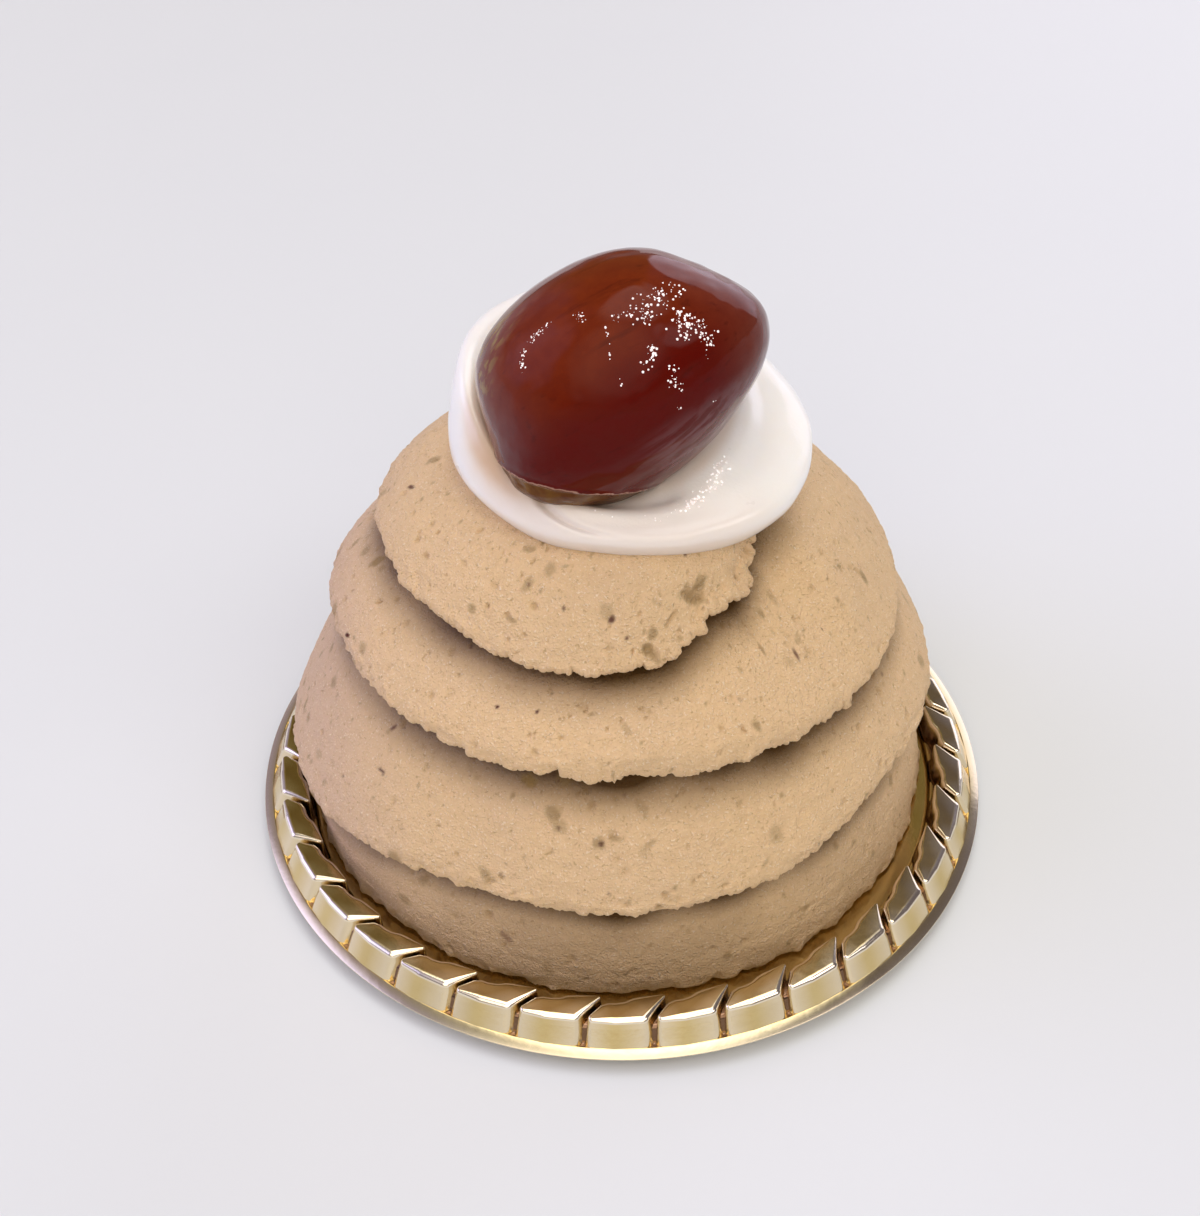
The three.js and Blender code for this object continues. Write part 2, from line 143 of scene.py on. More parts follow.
FLECKS = [                       # kind, along, up, half length, half width, tilt, strength
    ("dark", 702.0, 5.6, 0.55, 0.3, 20, 0.9), ("dark", 532.7, 1.5, 0.3, 0.25, 0, 1.0),
    ("dark", 337.4, 13.6, 0.4, 0.28, 40, 0.9), ("dark", 338.4, 9.0, 0.8, 0.18, -15, 0.9),
    ("dark", 554.2, 4.9, 0.22, 0.2, 0, 1.0), ("dark", 558.5, 5.5, 0.22, 0.2, 0, 1.0),
    ("dark", 735.8, 4.7, 0.42, 0.33, 30, 0.9), ("dark", 590.1, 7.2, 0.7, 0.22, 70, 0.8),
    ("dark", 364.6, 7.8, 0.3, 0.22, 0, 0.8), ("dark", 137.5, 5.6, 0.8, 0.35, -30, 0.5),
    ("olive", 527.3, 8.0, 1.1, 0.6, 60, 0.7), ("olive", 356.3, 12.6, 0.9, 0.7, 0, 0.9),
    ("olive", 604.3, 6.8, 0.8, 0.45, 80, 0.6), ("olive", 590.3, 12.2, 0.6, 0.35, 60, 0.5),
    ("olive", 389.0, 11.6, 0.5, 0.3, 30, 0.7), ("olive", 745.3, 3.1, 1.9, 0.5, -41, 0.55),
    ("olive", 746.8, 3.4, 0.9, 0.35, -10, 0.7), ("olive", 739.4, 1.4, 0.8, 0.45, -25, 0.6),
    ("pit", 745.6, 3.2, 1.8, 0.55, -41, 0.35), ("pit", 739.5, 1.2, 0.7, 0.5, -25, 0.35),
    ("pit", 742.5, 3.0, 0.9, 0.3, 20, 0.3),
]
HOLLOW_REACH = 9.0               # how far down the face the painted shade under a lip reaches
HOLLOW_FADE = 6.5
LID_FADE = 24                    # degrees over which that shade ends where no lip hangs above
FOOT_SHADE = 0.36                # how strong the painted shade round the front foot is at its darkest
FOOT_MIDDLE = 266.0              # degrees along the ribbon
FOOT_SPREAD = 85.0
RANDOM_MARKS = (                 # kind, count, smallest, largest, slimmest, strength
    ("olive", 620, 0.18, 1.0, 0.35, 0.6),
    ("dark", 120, 0.12, 0.28, 0.5, 0.8),
    ("pit", 1100, 0.16, 0.5, 0.5, 0.3),
)
MARK_SEED = 29

# Whipped cream
CREAM_AXIS = np.array([1.2, 1.6])
CREAM_RING = np.array([          # degrees, radius, widest, ridge share, ridge, dent, fill height
    (0, 17.5, 42.45, 0.72, 46.6, -1.2, 49.5),
    (45, 17.0, 43.3, 0.74, 49.4, -0.4, 50.5),
    (90, 16.3, 44.2, 0.78, 52.3, 0.6, 50.0),
    (135, 17.0, 44.5, 0.82, 53.7, 1.0, 50.0),
    (180, 17.5, 44.15, 0.86, 52.2, 1.0, 49.0),
    (225, 17.0, 43.3, 0.87, 46.9, 1.5, 45.0),
    (270, 16.2, 42.4, 0.85, 44.9, 0.3, 45.0),
    (315, 16.9, 42.06, 0.78, 45.0, -0.9, 48.0),
    (360, 17.5, 42.45, 0.72, 46.6, -1.2, 49.5),
], float)
CREAM_PLACES = (0, 4.5, 7.5, 9.5, 11.5, 14.0, 16.0, 18.5, 25.0)     # knots from under to middle
CREAM_ROWS = 180
CREAM_COLUMNS = 400
CREAM_UNDER = 37.5
CREAM_HOLLOW = 48.5
FOLD_LINE = np.array([           # degrees, place across the dollop
    (225, 17.5), (238, 14.5), (252, 12.4), (275, 11.0),
], float)
FOLD_MIDDLE = 246                # degrees
FOLD_REACH = 24
FOLD_DEPTH = 0.45
FRONT_HOLLOW = (285, 11, 18.6, 0.35)     # degrees, reach, place across and depth
CREAM_BEADS = [                  # degrees and place across from, to, count, radius in mm
    (291, 15.9, 305, 17.0, 46, 0.15), (303, 16.8, 318, 18.8, 36, 0.13),
    (259, 15.2, 261, 15.4, 3, 0.12), (272, 15.0, 284, 15.2, 12, 0.08),
]
CREAM_BEAD_SPREAD = (2.0, 0.45)  # in degrees, and across
CREAM_BEAD_SEED = 67

# Candied chestnut
CHESTNUT_CENTRE = np.array([-0.3, -2.4, 52.6])
CHESTNUT_SIZE = np.array([13.8, 10.6, 11.9])     # half of its length, depth and width
CHESTNUT_MIDDLING = 11           # a middling one of these
CHESTNUT_ROWS = 200
CHESTNUT_COLUMNS = 340
CHESTNUT_TURN = 31.7
CHESTNUT_PITCH = 31.6
CHESTNUT_WAVES = ((3, 0.059, 53), (4, 0.012, 156), (5, 0.023, 59))     # count, height, phase
SCAR_NORMAL = (0.644, -0.715, 0.276)     # across the scar's edge, in the chestnut's own axes
SCAR_LEVEL = -7.9                # how far along that direction the scar's edge lies
SCAR_LINE = 0.10                 # height of the raised line along the scar
SCAR_SETBACK = 0.22
GLINT_LINES = [                  # turn and latitude from, to, spread in mm, count, radius in mm
    (-50, 63, -30, 45, 0.75, 80, 0.13), (-65, 63, -50, 63, 0.25, 16, 0.12),
    (-44, 60, -36, 64, 0.40, 22, 0.12), (-16, 53, -1, 62, 0.45, 50, 0.14),
    (-8, 55, 14, 53, 0.45, 60, 0.13), (14, 53, 23, 57, 0.30, 14, 0.12),
    (-12, 73, 7, 75, 0.25, 18, 0.14), (7, 75, 12, 81, 0.22, 10, 0.14),
    (23, 68, 42, 68, 0.25, 14, 0.12), (42, 68, 49, 61, 0.25, 14, 0.13),
    (-74, 66, -72, 74, 0.06, 6, 0.12), (-72, 74, -77, 83, 0.05, 5, 0.10),
    (89, 88, 89, 86, 0.15, 3, 0.13), (-89, 56, -88, 57, 0.30, 22, 0.08),
    (-104, 49, -121, 48, 0.18, 40, 0.09), (-121, 48, -137, 50, 0.16, 30, 0.09),
    (64, 57, 62, 58, 0.20, 4, 0.09), (51, 40, 53, 41, 0.12, 3, 0.12),
]
GLINT_SEED = 53
BEAD_SIDES = 8

# Tones as seen on a screen, from 0 to 255
PASTE_TONES = {
    # the third tone is the painted lilac-grey shade of the dome's left side
    "pale": (236, 202, 158), "warm": (231, 198, 157), "painted_left_shade": (208, 176, 164),
    "mottled": (210, 176, 126), "dark grain": (176, 141, 92), "pale grain": (250, 230, 204),
    # tones of the painted shade under the lips, at the left and at the right
    "painted shade left": (86, 64, 56), "painted shade right": (80, 52, 4), "pit": (150, 116, 70),
    "olive": (136, 108, 60), "speck": (80, 28, 26),
}
CREAM_TONES = {
    "white": (253, 252, 250), "warm": (250, 247, 242), "syrup": (206, 170, 128),
    # painted shade for the front of the dollop
    "painted_front_shade": (233, 222, 214),
}
CHESTNUT_TONES = {
    "deep": (88, 12, 6), "warm": (112, 42, 16), "tip": (118, 58, 38), "mottled": (84, 22, 12),
    # painted reflections: the olive one along the upper left side, the lilac one at the left end and
    # lower side
    "streak": (60, 14, 8), "painted olive reflection": (136, 106, 48), "painted_lilac_reflection": (122, 84, 88),
    "scar": (112, 76, 34), "scar dark": (84, 40, 18), "scar line": (190, 150, 130),
}
GLINT_TONES = {"white": (255, 253, 252), "dull": (232, 216, 214)}
GOLD_TONES = {
    "gold": (220, 198, 142), "deeper gold": (214, 191, 134), "painted_recess_shade": (128, 100, 80),
    "painted_highlight": (250, 240, 222),
}
FLOOR_TONES = {"plain": (222, 226, 229), "shade": (220, 224, 228)}

FLOOR_HALF = 3000.0              # half the width of the floor

# Camera: where it stands, and where it looks
CAMERA_PLACE = np.array([0.0, -117.34, 123.49])
CAMERA_YAW = -1.01
CAMERA_PITCH = 40.51
CAMERA_ROLL = -0.92
CAMERA_SENSOR = 36.0             # along the picture's longer side
CAMERA_LENS = 43.67

# Light: the room's tone above, on each side and along the horizon, and the soft glows in it
ROOM_ABOVE = (0.30, 0.29, 0.27, 1)
ROOM_SIDES = {"left": (0.32, 0.28, 0.38, 1), "right": (0.13, 0.11, 0.12, 1),
              "back": (0.20, 0.155, 0.06, 1), "back right": (0.18, 0.165, 0.21, 1),
              "front": (0.12, 0.12, 0.12, 1)}
HORIZON = {"left": (0.68, 0.62, 0.70, 1), "right": (0.30, 0.26, 0.24, 1),
           "back": (0.25, 0.23, 0.22, 1), "back right": (0.25, 0.23, 0.22, 1),
           "front": (0.75, 0.70, 0.62, 1)}
GLOWS = [                        # direction, cosines where it ends and where it is full, colour
    ((0.00, -0.64, 0.77), 0.74, 0.97, (2.0, 1.84, 1.62, 1)),
    ((0.05, 0.20, 0.96), 0.91, 0.98, (3.2, 3.12, 3.0, 1)),
    ((-0.85, 0.05, 0.52), 0.88, 0.97, (1.4, 1.35, 2.15, 1)),
    ((0.60, -0.28, 0.75), 0.96, 0.99, (3.0, 2.8, 2.8, 1)),
    ((0.50, 0.84, 0.20), 0.905, 0.92, (1.45, 1.4, 1.65, 1)),
]


# ------------------------------------------------------------------ helpers for shapes

def smooth(share):
    """Rises from 0 to 1 with flat ends, as 3 t squared minus 2 t cubed."""
    t = np.clip(share, 0.0, 1.0)
    return t * t * (3 - 2 * t)


def hump(distance, reach):
    """A bell from 1 at distance 0 to 0 at reach."""
    return 1 - smooth(np.abs(distance) / reach)


def unit(vectors):
    """The vectors at length 1."""
    return vectors / np.maximum(np.linalg.norm(vectors, axis=-1, keepdims=True), 1e-12)


def through(knots, x):
    """Cubic curve through rows of [x, values...], with each slope taken between neighbours."""
    at, values = knots[:, 0], knots[:, 1:]
    order = np.arange(len(at))
    before, after = np.maximum(order - 1, 0), np.minimum(order + 1, len(at) - 1)
    slope = (values[after] - values[before]) / (at[after] - at[before])[:, None]
    right = np.clip(np.searchsorted(at, x), 1, len(at) - 1)
    left = right - 1
    width = (at[right] - at[left])[:, None]
    t = np.clip((x - at[left])[:, None] / width, 0, 1)
    rise = t * t * (3 - 2 * t)
    bend = slope[left] * t * (1 - t) ** 2 - slope[right] * t * t * (1 - t)
    return values[left] * (1 - rise) + values[right] * rise + width * bend


def around(knots, degrees):
    """The same curve for knots that run once round and meet at 360 degrees."""
    turn = np.array([[360.0] + [0.0] * (knots.shape[1] - 1)])
    return through(np.concatenate([knots[-3:-1] - turn, knots, knots[1:3] + turn]), degrees)


def lattice_noise(points, seed):
    """Smooth noise from -1 to 1: random values on a unit lattice, blended between its corners."""
    cell = np.floor(points).astype(np.int64)
    part = points - cell
    part = part * part * (3 - 2 * part)
    total = np.zeros(points.shape[:-1])
    for corner in itertools.product((0, 1), repeat=3):
        x, y, z = np.moveaxis(cell + np.array(corner), -1, 0)
        key = (x * 73856093 ^ y * 19349663 ^ z * 83492791 ^ seed * 668265263) & 0xFFFFFFFF
        key = ((key ^ (key >> 15)) * 2246822519) & 0xFFFFFFFF
        key = ((key ^ (key >> 13)) * 3266489917) & 0xFFFFFFFF
        value = ((key >> 8) & 0xFFFF) / 32767.5 - 1
        total += value * np.prod(np.where(corner, part, 1 - part), axis=-1)
    return total


def cloud(points, size, seed, octaves=1):
    """Lattice noise of a size in mm, with each further octave half as large and half as strong."""
    return sum(lattice_noise(points * (2 ** k / size) + 17.3 * k, seed + k) / 2 ** k
               for k in range(octaves))


def grid_normals(grid):
    """Normals of a grid of points, as the cross product of its two directions."""
    return unit(np.cross(np.gradient(grid, axis=0), np.gradient(grid, axis=1)))


def put_mesh(name, points, face_sets, flat_set=None):
    """A smooth mesh object from points in mm and arrays of faces; one set may stay flat."""
    corners = np.concatenate([faces.ravel() for faces in face_sets])
    sizes = np.concatenate([np.full(len(faces), faces.shape[1]) for faces in face_sets])
    is_smooth = np.concatenate([np.full(len(faces), i != flat_set)
                                for i, faces in enumerate(face_sets)])
    mesh = bpy.data.meshes.new(name)
    mesh.vertices.add(len(points))
    mesh.loops.add(len(corners))
    mesh.polygons.add(len(sizes))
    mesh.vertices.foreach_set("co", (points * MM).astype(np.float32).ravel())
    mesh.loops.foreach_set("vertex_index", corners.astype(np.int32))
    mesh.polygons.foreach_set("loop_start", (np.cumsum(sizes) - sizes).astype(np.int32))
    mesh.polygons.foreach_set("use_smooth", is_smooth)
    mesh.update(calc_edges=True)
    mesh.validate()
    obj = bpy.data.objects.new(name, mesh)
    bpy.context.scene.collection.objects.link(obj)
    return obj


def keep_value(obj, name, values):
    """Stores one number for each point, which the material reads by name."""
    layer = obj.data.attributes.new(name, "FLOAT", "POINT")
    layer.data.foreach_set("value", np.asarray(values, np.float32).ravel())


def keep_place(obj, name, vectors):
    """Stores one vector for each point, which the material reads by name."""
    layer = obj.data.attributes.new(name, "FLOAT_VECTOR", "POINT")
    layer.data.foreach_set("vector", np.asarray(vectors, np.float32).ravel())


def grid_faces(columns, rows, start=0, close_columns=False, close_rows=False):
    """Quads of a grid whose points are stored column by column, closed either way or not."""
    i = np.arange(columns if close_columns else columns - 1)[:, None]
    k = np.arange(rows if close_rows else rows - 1)[None, :]
    i_next, k_next = (i + 1) % columns, (k + 1) % rows
    quads = np.stack([i * rows + k, i_next * rows + k, i_next * rows + k_next, i * rows + k_next])
    return start + quads.reshape(4, -1).T


def fan_faces(ring, middle, flip=False):
    """Triangles from a closed ring of point numbers to the number of a middle point."""
    ahead = np.roll(ring, -1)
    pair = (ahead, ring) if flip else (ring, ahead)
    return np.stack([*pair, np.full(len(ring), middle)], axis=1)


def rings_mesh(name, first, rings, last):
    """A closed surface from rings (count, around, 3), with a fan to a point at each end.

    The rings run anticlockwise seen from the last point, so that the faces point outwards.
    """
    count, size = rings.shape[:2]
    points = np.concatenate([rings.reshape(-1, 3), [first], [last]])
    ring = np.arange(size)
    sides = grid_faces(count, size, close_rows=True)[:, ::-1]
    caps = np.concatenate([
        fan_faces(ring, count * size, flip=True),
        fan_faces((count - 1) * size + ring, count * size + 1),
    ])
    return put_mesh(name, points, [sides, caps])


# ------------------------------------------------------------------ ribbon dome

def inside_tray(points):
    """Draws the paste in to inside the tray's wall, and lets it overhang above the blocks."""
    room = WALL_RADIUS - GAP + np.maximum(0, points[..., 2] - BLOCK_TOP - GAP)
    share = np.minimum(1, room / np.maximum(np.hypot(points[..., 0], points[..., 1]), 1e-9))
    return points * np.stack([share, share, np.ones_like(share)], axis=-1)


def round_axis(degrees, radius, height):
    """Points at these angles, radii and heights round the cake's axis."""
    turn = np.radians(degrees)
    return np.stack([
        CAKE_AXIS[0] + radius * np.cos(turn),
        CAKE_AXIS[1] + radius * np.sin(turn),
        height + 0 * turn,
    ], axis=-1)


def edge_points(degrees):
    """The ribbon's lower edge."""
    radius, height = through(RIBBON_EDGE, degrees).T
    return round_axis(degrees, radius, height)


def ribbon_frame(degrees):
    """Where each column starts and ends, and its directions.

    Returns the lower edge, the edge above it, the outward normal, the direction up the face, how
    free of the tray the lip is, and how fully thick it is where the turn is wide enough.
    """
    edge = edge_points(degrees)
    covered = (degrees + 360 <= RIBBON_END)[:, None]
    upper = np.where(covered, edge_points(np.minimum(degrees + 360, RIBBON_END)),
                     round_axis(degrees, TOP_RADIUS, TOP_HEIGHT))
    lean = np.radians(LEAN_AT_TOP) * (np.maximum(edge[:, 2], 0) / LEAN_HEIGHT) ** LEAN_POWER
    turn = np.radians(degrees)
    normal = np.stack([np.cos(lean) * np.cos(turn), np.cos(lean) * np.sin(turn), np.sin(lean)], -1)
    along = (edge_points(np.minimum(degrees + SLOPE_STEP, RIBBON_END))
             - edge_points(np.maximum(degrees - SLOPE_STEP, RIBBON_START)))
    across = unit(np.cross(normal, along))
    free = smooth((edge[:, 2] - RIBBON_EDGE[0, 2]) / LIFT_FOR_TUCK)
    full = smooth(np.linalg.norm(upper - edge, axis=1) / SPAN_FOR_LIP)
    return edge, upper, normal, across, free, full


def lip_points(degrees):
    """The lip's section at each angle, from the crevice under it round to the face."""
    edge, _, normal, across, free, full = ribbon_frame(degrees)
    blunt = hump(degrees - BLUNT_MIDDLE, BLUNT_REACH)
    rows = []
    for plain, upright in zip(LIP_SECTION, BLUNT_SECTION):
        rise, drop, depth = (plain[:, None] * (1 - blunt) + upright[:, None] * blunt)
        climb = (rise - drop * (1 - free)) * full
        point = edge + across * climb[:, None] - normal * (depth * full)[:, None]
        point[:, 2] = np.maximum(point[:, 2], FLOOR)
        rows.append(inside_tray(point))
    return np.array(rows)


def ribbon_knots(degrees):
    """Eleven points across each column: the lip, the bulging face and the crevice above."""
    _, upper, normal, _, _, _ = ribbon_frame(degrees)
    lip = lip_points(degrees)
    above = lip_points(np.minimum(degrees + 360, RIBBON_END))[0]
    crevice = np.where((degrees + 360 <= RIBBON_END)[:, None], above, upper)
    start = lip[-1]
    width = np.linalg.norm(crevice - start, axis=1)
    face = []
    for t in np.arange(1, 5) / 5:
        bulge = FACE_BULGE * 4 * t * (1 - t) * np.minimum(1, width / SPAN_FOR_BULGE)
        face.append(inside_tray(start * (1 - t) + crevice * t + normal * bulge[:, None]))
    return np.concatenate([lip, face, crevice[None]])


def ribbon_rows():
    """Row places across the ribbon: fine round the lip and on the face, coarse where hidden."""
    start, lip, face, crevice, end = KNOT_PLACES[[0, 2, 5, 9, 10]]
    return np.concatenate([
        np.linspace(start, lip, 6, endpoint=False),
        np.linspace(lip, face, 18, endpoint=False),
        np.linspace(face, crevice, 52, endpoint=False),
        np.linspace(crevice, end, 6),
    ])


def broken_edge(along, seed, spacing, notch):
    """How far a torn edge hangs down along its length, from about 0 to 1.

    The edge is cut into flakes of random width. Each hangs down by its own amount, is tilted, and
    rounds off at both ends, so that a notch is left between it and the next.
    """
    draw = np.random.default_rng(seed)
    widths = draw.uniform(0.35, 1.65, int(along[-1] / spacing * 1.6) + 4) * spacing
    starts = np.cumsum(widths) - widths
    hang = draw.uniform(0, 1, len(widths)) ** 1.4
    tilt = draw.uniform(-0.6, 0.6, len(widths))
    number = np.clip(np.searchsorted(starts, along, side="right") - 1, 0, len(widths) - 1)
    t = (along - starts[number]) / widths[number]
    return hang[number] + tilt[number] * (t - 0.5) - notch * np.abs(2 * t - 1) ** 5


def ragged_lip(along, torn):
    """How far the lip hangs down: flakes of three sizes, and larger ones at the torn end."""
    line = np.stack([along, 0 * along, 0 * along], axis=-1)
    large, middling, small = (strength * broken_edge(along, *flake) for strength, *flake in FLAKES)
    ragged = large * (1 + 0.5 * cloud(line, 16, 7))
    ragged += middling + small
    strength, *flake = TORN_FLAKES
    return ragged + torn * (strength * broken_edge(along, *flake) - TORN_SETBACK)


def paste_relief(grid, place, torn):
    """Unevenness of the face: slow dents, drag lines along the ribbon, grains, lumps and holes."""
    rise = place[..., 1]
    near_lip = np.exp(-((rise - 0.6) / 1.3) ** 2)
    relief = 0.26 * cloud(grid, 13, 31) + 0.08 * cloud(grid, 4.2, 41)
    relief += 0.05 * lattice_noise(place / np.array([5.0, 0.6, 1.0]), 51)
    relief += (0.05 + 0.12 * near_lip) * cloud(grid, 0.75, 61, 2)
    lumps = smooth((cloud(place, 1.5, 83) + 0.1) / 0.5) * np.exp(-((rise - 0.8) / 1.0) ** 2)
    relief += 0.38 * torn[:, None] * lumps
    relief += 0.10 * near_lip * cloud(place, 2.0, 71, 2)
    holes = smooth((cloud(grid, 0.8, 65) - 0.5) / 0.3)
    relief -= 0.16 * holes * smooth(cloud(grid, 6, 67) + 0.3)
    return relief


def painted_shade(grid, run, rise, degrees, full):
    """How much painted shade each point takes: high on the face under the next lip, and round the front
    foot.
    """
    down = run[:, -1:] - run
    lidded = smooth((RIBBON_END - 360 + LID_FADE / 2 - degrees) / LID_FADE)
    hollow = smooth((HOLLOW_REACH - down) / HOLLOW_FADE) * (full * lidded)[:, None]
    foot = FOOT_SHADE * hump(degrees - FOOT_MIDDLE, FOOT_SPREAD)[:, None]
    hollow = np.maximum(hollow, foot * smooth((rise + 1) / 2))
    return hollow * (0.9 + 0.3 * cloud(grid, 5, 77))


def ribbon_surface():
    """The whole ribbon as a grid of points (columns, rows, 3).

    The grid is the smooth section, moved down along the lip by broken flakes, and out or in by
    crumbs along the foot, by the relief of the paste and by pits. Its marks come with it.
    """
    degrees = np.arange(RIBBON_START * COLUMNS_PER_DEGREE, RIBBON_END * COLUMNS_PER_DEGREE + 1)
    degrees = degrees / COLUMNS_PER_DEGREE
    rows = ribbon_rows()
    weights = through(np.column_stack([KNOT_PLACES, np.eye(len(KNOT_PLACES))]), rows)
    grid = np.einsum("mk,knc->nmc", weights, ribbon_knots(degrees))
    edge, _, normal, across, free, full = ribbon_frame(degrees)
    along = np.concatenate([[0], np.cumsum(np.linalg.norm(np.diff(edge, axis=0), axis=1))])
    steps = np.linalg.norm(np.diff(grid, axis=1), axis=2)
    run = np.concatenate([np.zeros((len(degrees), 1)), np.cumsum(steps, axis=1)], axis=1)
    lowest = np.searchsorted(rows, KNOT_PLACES[LOWEST_KNOT])
    rise = run - run[:, lowest:lowest + 1]
    shown = smooth(rows / 2.2) * smooth((KNOT_PLACES[-1] - rows) / 2.0)
    torn = smooth((degrees - TEAR_START) / TEAR_FADE)

    falloff = np.where(rise < 0, 1.0, np.exp(-(np.maximum(rise, 0) / LIP_SOFTNESS) ** 2))
    falloff = falloff * smooth((rows - 0.6) / 1.8)
    drop = (ragged_lip(along, torn) * free * full)[:, None] * falloff
    grid = grid - across[:, None, :] * drop[..., None]
    line = np.stack([along, 0 * along, 0 * along], axis=-1)
    crumbly = cloud(line, 1.6, 21, 2) * (1 - free) * full
    crumbs = CRUMB_STRENGTH * crumbly[:, None] * falloff
    grid = grid + normal[:, None, :] * crumbs[..., None]

    out = grid_normals(grid)
    out = out * np.sign(np.sum(out * normal[:, None, :], axis=-1).mean())
    place = np.stack([along[:, None] + 0 * rise, rise, 0 * rise], axis=-1)
    relief = paste_relief(grid, place, torn)
    grid = grid + out * (relief * shown * full[:, None])[..., None]
    grid[..., 2] = np.maximum(grid[..., 2], FLOOR)
    marks = ribbon_marks(along, rise)
    # painted shade: under each lip and round the front foot
    marks["hollow"] = painted_shade(grid, run, rise, degrees, full)
    grid = grid - out * (marks["pit"] * shown)[..., None]
    return degrees, inside_tray(grid), marks


def ribbon_marks(along, rise):
    """How strongly each point lies in a dark speck or an olive fleck, and how deep in a pit.

    Each mark is a tilted ellipse in the ribbon's own coordinates, with a soft edge that wanders.
    The named ones come from FLECKS, and seeded random ones cover the ribbon all round.
    """
    draw = np.random.default_rng(MARK_SEED)

    def random_rows(kind, count, low, high, slim, strength):
        """Rows like those of FLECKS, strewn evenly, with small ones more common."""
        size = low * (high / low) ** draw.uniform(0, 1, count) ** 1.6
        return [(kind, *row) for row in np.column_stack([
            draw.uniform(0, along[-1], count), draw.uniform(0.3, 14.5, count), size,
            size * draw.uniform(slim, 1.0, count), draw.uniform(0, 180, count),
            strength * draw.uniform(0.4, 1.0, count),
        ])]

    rows = list(FLECKS)
    for table_row in RANDOM_MARKS:
        rows += random_rows(*table_row)
    marks = {kind: np.zeros(rise.shape) for kind in ("dark", "olive", "pit")}
    for kind, middle, height, length, width, tilt, strength in rows:
        reach = 1.6 * max(length, width)
        part = slice(*np.searchsorted(along, (middle - reach, middle + reach)))
        u, v = along[part, None] - middle, rise[part] - height
        turn = math.radians(tilt)
        far = np.hypot((u * math.cos(turn) + v * math.sin(turn)) / length,
                       (v * math.cos(turn) - u * math.sin(turn)) / width)
        spot = np.stack([u + 0 * v, v, 0 * v + middle], axis=-1)
        far = far + 0.3 * lattice_noise(spot * (1.6 / max(width, 0.2)), 5)
        inside = strength * smooth((1.4 - far) / 0.9)
        marks[kind][part] = np.maximum(marks[kind][part], inside)
    return marks


def ribbon_strip(name, degrees, grid, marks):
    """One stretch of the ribbon as a closed solid, filled in to the cake's axis."""
    columns, rows = grid.shape[:2]
    axis_top = round_axis(degrees, 0.0, np.minimum(grid[:, -1, 2], TOP_HOLLOW))
    axis_foot = round_axis(degrees, 0.0, np.minimum(grid[:, 0, 2], TOP_HOLLOW))
    full = np.concatenate([grid, axis_top[:, None], axis_foot[:, None]], axis=1)
    size = rows + 2
    middles = full[[0, -1]].mean(axis=1)
    points = np.concatenate([full.reshape(-1, 3), middles])
    sides = grid_faces(columns, size, close_rows=True)
    ring = np.arange(size)
    ends = np.concatenate([
        fan_faces(ring, columns * size),
        fan_faces((columns - 1) * size + ring, columns * size + 1, flip=True),
    ])
    obj = put_mesh(name, points, [sides, ends], flat_set=1)
    for kind, values in marks.items():
        padded = np.zeros((columns, size))
        padded[:, :rows] = values
        keep_value(obj, kind, np.concatenate([padded.ravel(), np.zeros(2)]))
    return obj


def build_dome():
    """The dome in closed stretches of ribbon that meet at the back."""
    degrees, grid, marks = ribbon_surface()
    names = ("paste_start", "paste_turn_lowest", "paste_turn_second", "paste_turn_third",
             "paste_turn_top")
    made = []
    for name, first, last in zip(names, STRIP_ENDS[:-1], STRIP_ENDS[1:]):
        part = slice(int((first - RIBBON_START) * COLUMNS_PER_DEGREE),
                     int((last - RIBBON_START) * COLUMNS_PER_DEGREE) + 1)
        marks_there = {kind: values[part] for kind, values in marks.items()}
        made.append(ribbon_strip(name, degrees[part], grid[part], marks_there))
    return made


# ------------------------------------------------------------------ chestnut

def chestnut_axes():
    """The chestnut's own axes: base to tip, flat side, and towards the front."""
    turn, pitch = np.radians([CHESTNUT_TURN, CHESTNUT_PITCH])
    up = np.array([0, np.sin(pitch), np.cos(pitch)])
    right = np.array([1.0, 0, 0])
    tip = right * np.cos(turn) + up * np.sin(turn)
    flat = right * np.sin(turn) - up * np.cos(turn)
    return np.array([tip, flat, -np.cross(tip, flat)])


def chestnut_point(latitude, turn):
    """An ellipsoid whose outline from the front swells into a few blunt corners."""
    length, depth, width = CHESTNUT_SIZE
    level = np.cos(latitude)
    waves = sum(high * np.cos(n * turn - np.radians(phase)) for n, high, phase in CHESTNUT_WAVES)
    swell = 1 + level * level * waves
    return np.stack([
        length * swell * level * np.cos(turn),
        depth * swell * level * np.sin(turn),
        width * np.sin(latitude) + 0 * turn,
    ], axis=-1)


def chestnut_skin(latitude, turn):
    """The ellipsoid with slow dents, fine wrinkles, and a scar set back below a raised line."""
    local = chestnut_point(latitude, turn)
    out = unit(local / CHESTNUT_SIZE ** 2)
    relief = 0.20 * cloud(local, 6.0, 81) + 0.03 * cloud(local, 1.8, 91, 2)
    relief += 0.04 * lattice_noise(local / np.array([6.0, 1.1, 1.1]), 95)
    below = SCAR_LEVEL - local @ np.array(SCAR_NORMAL)
    set_back = SCAR_SETBACK + 0.12 * cloud(local, 1.2, 97)
    relief += SCAR_LINE * hump(below, 0.35) - smooth(below / 0.5) * set_back
    return local + out * relief[..., None]


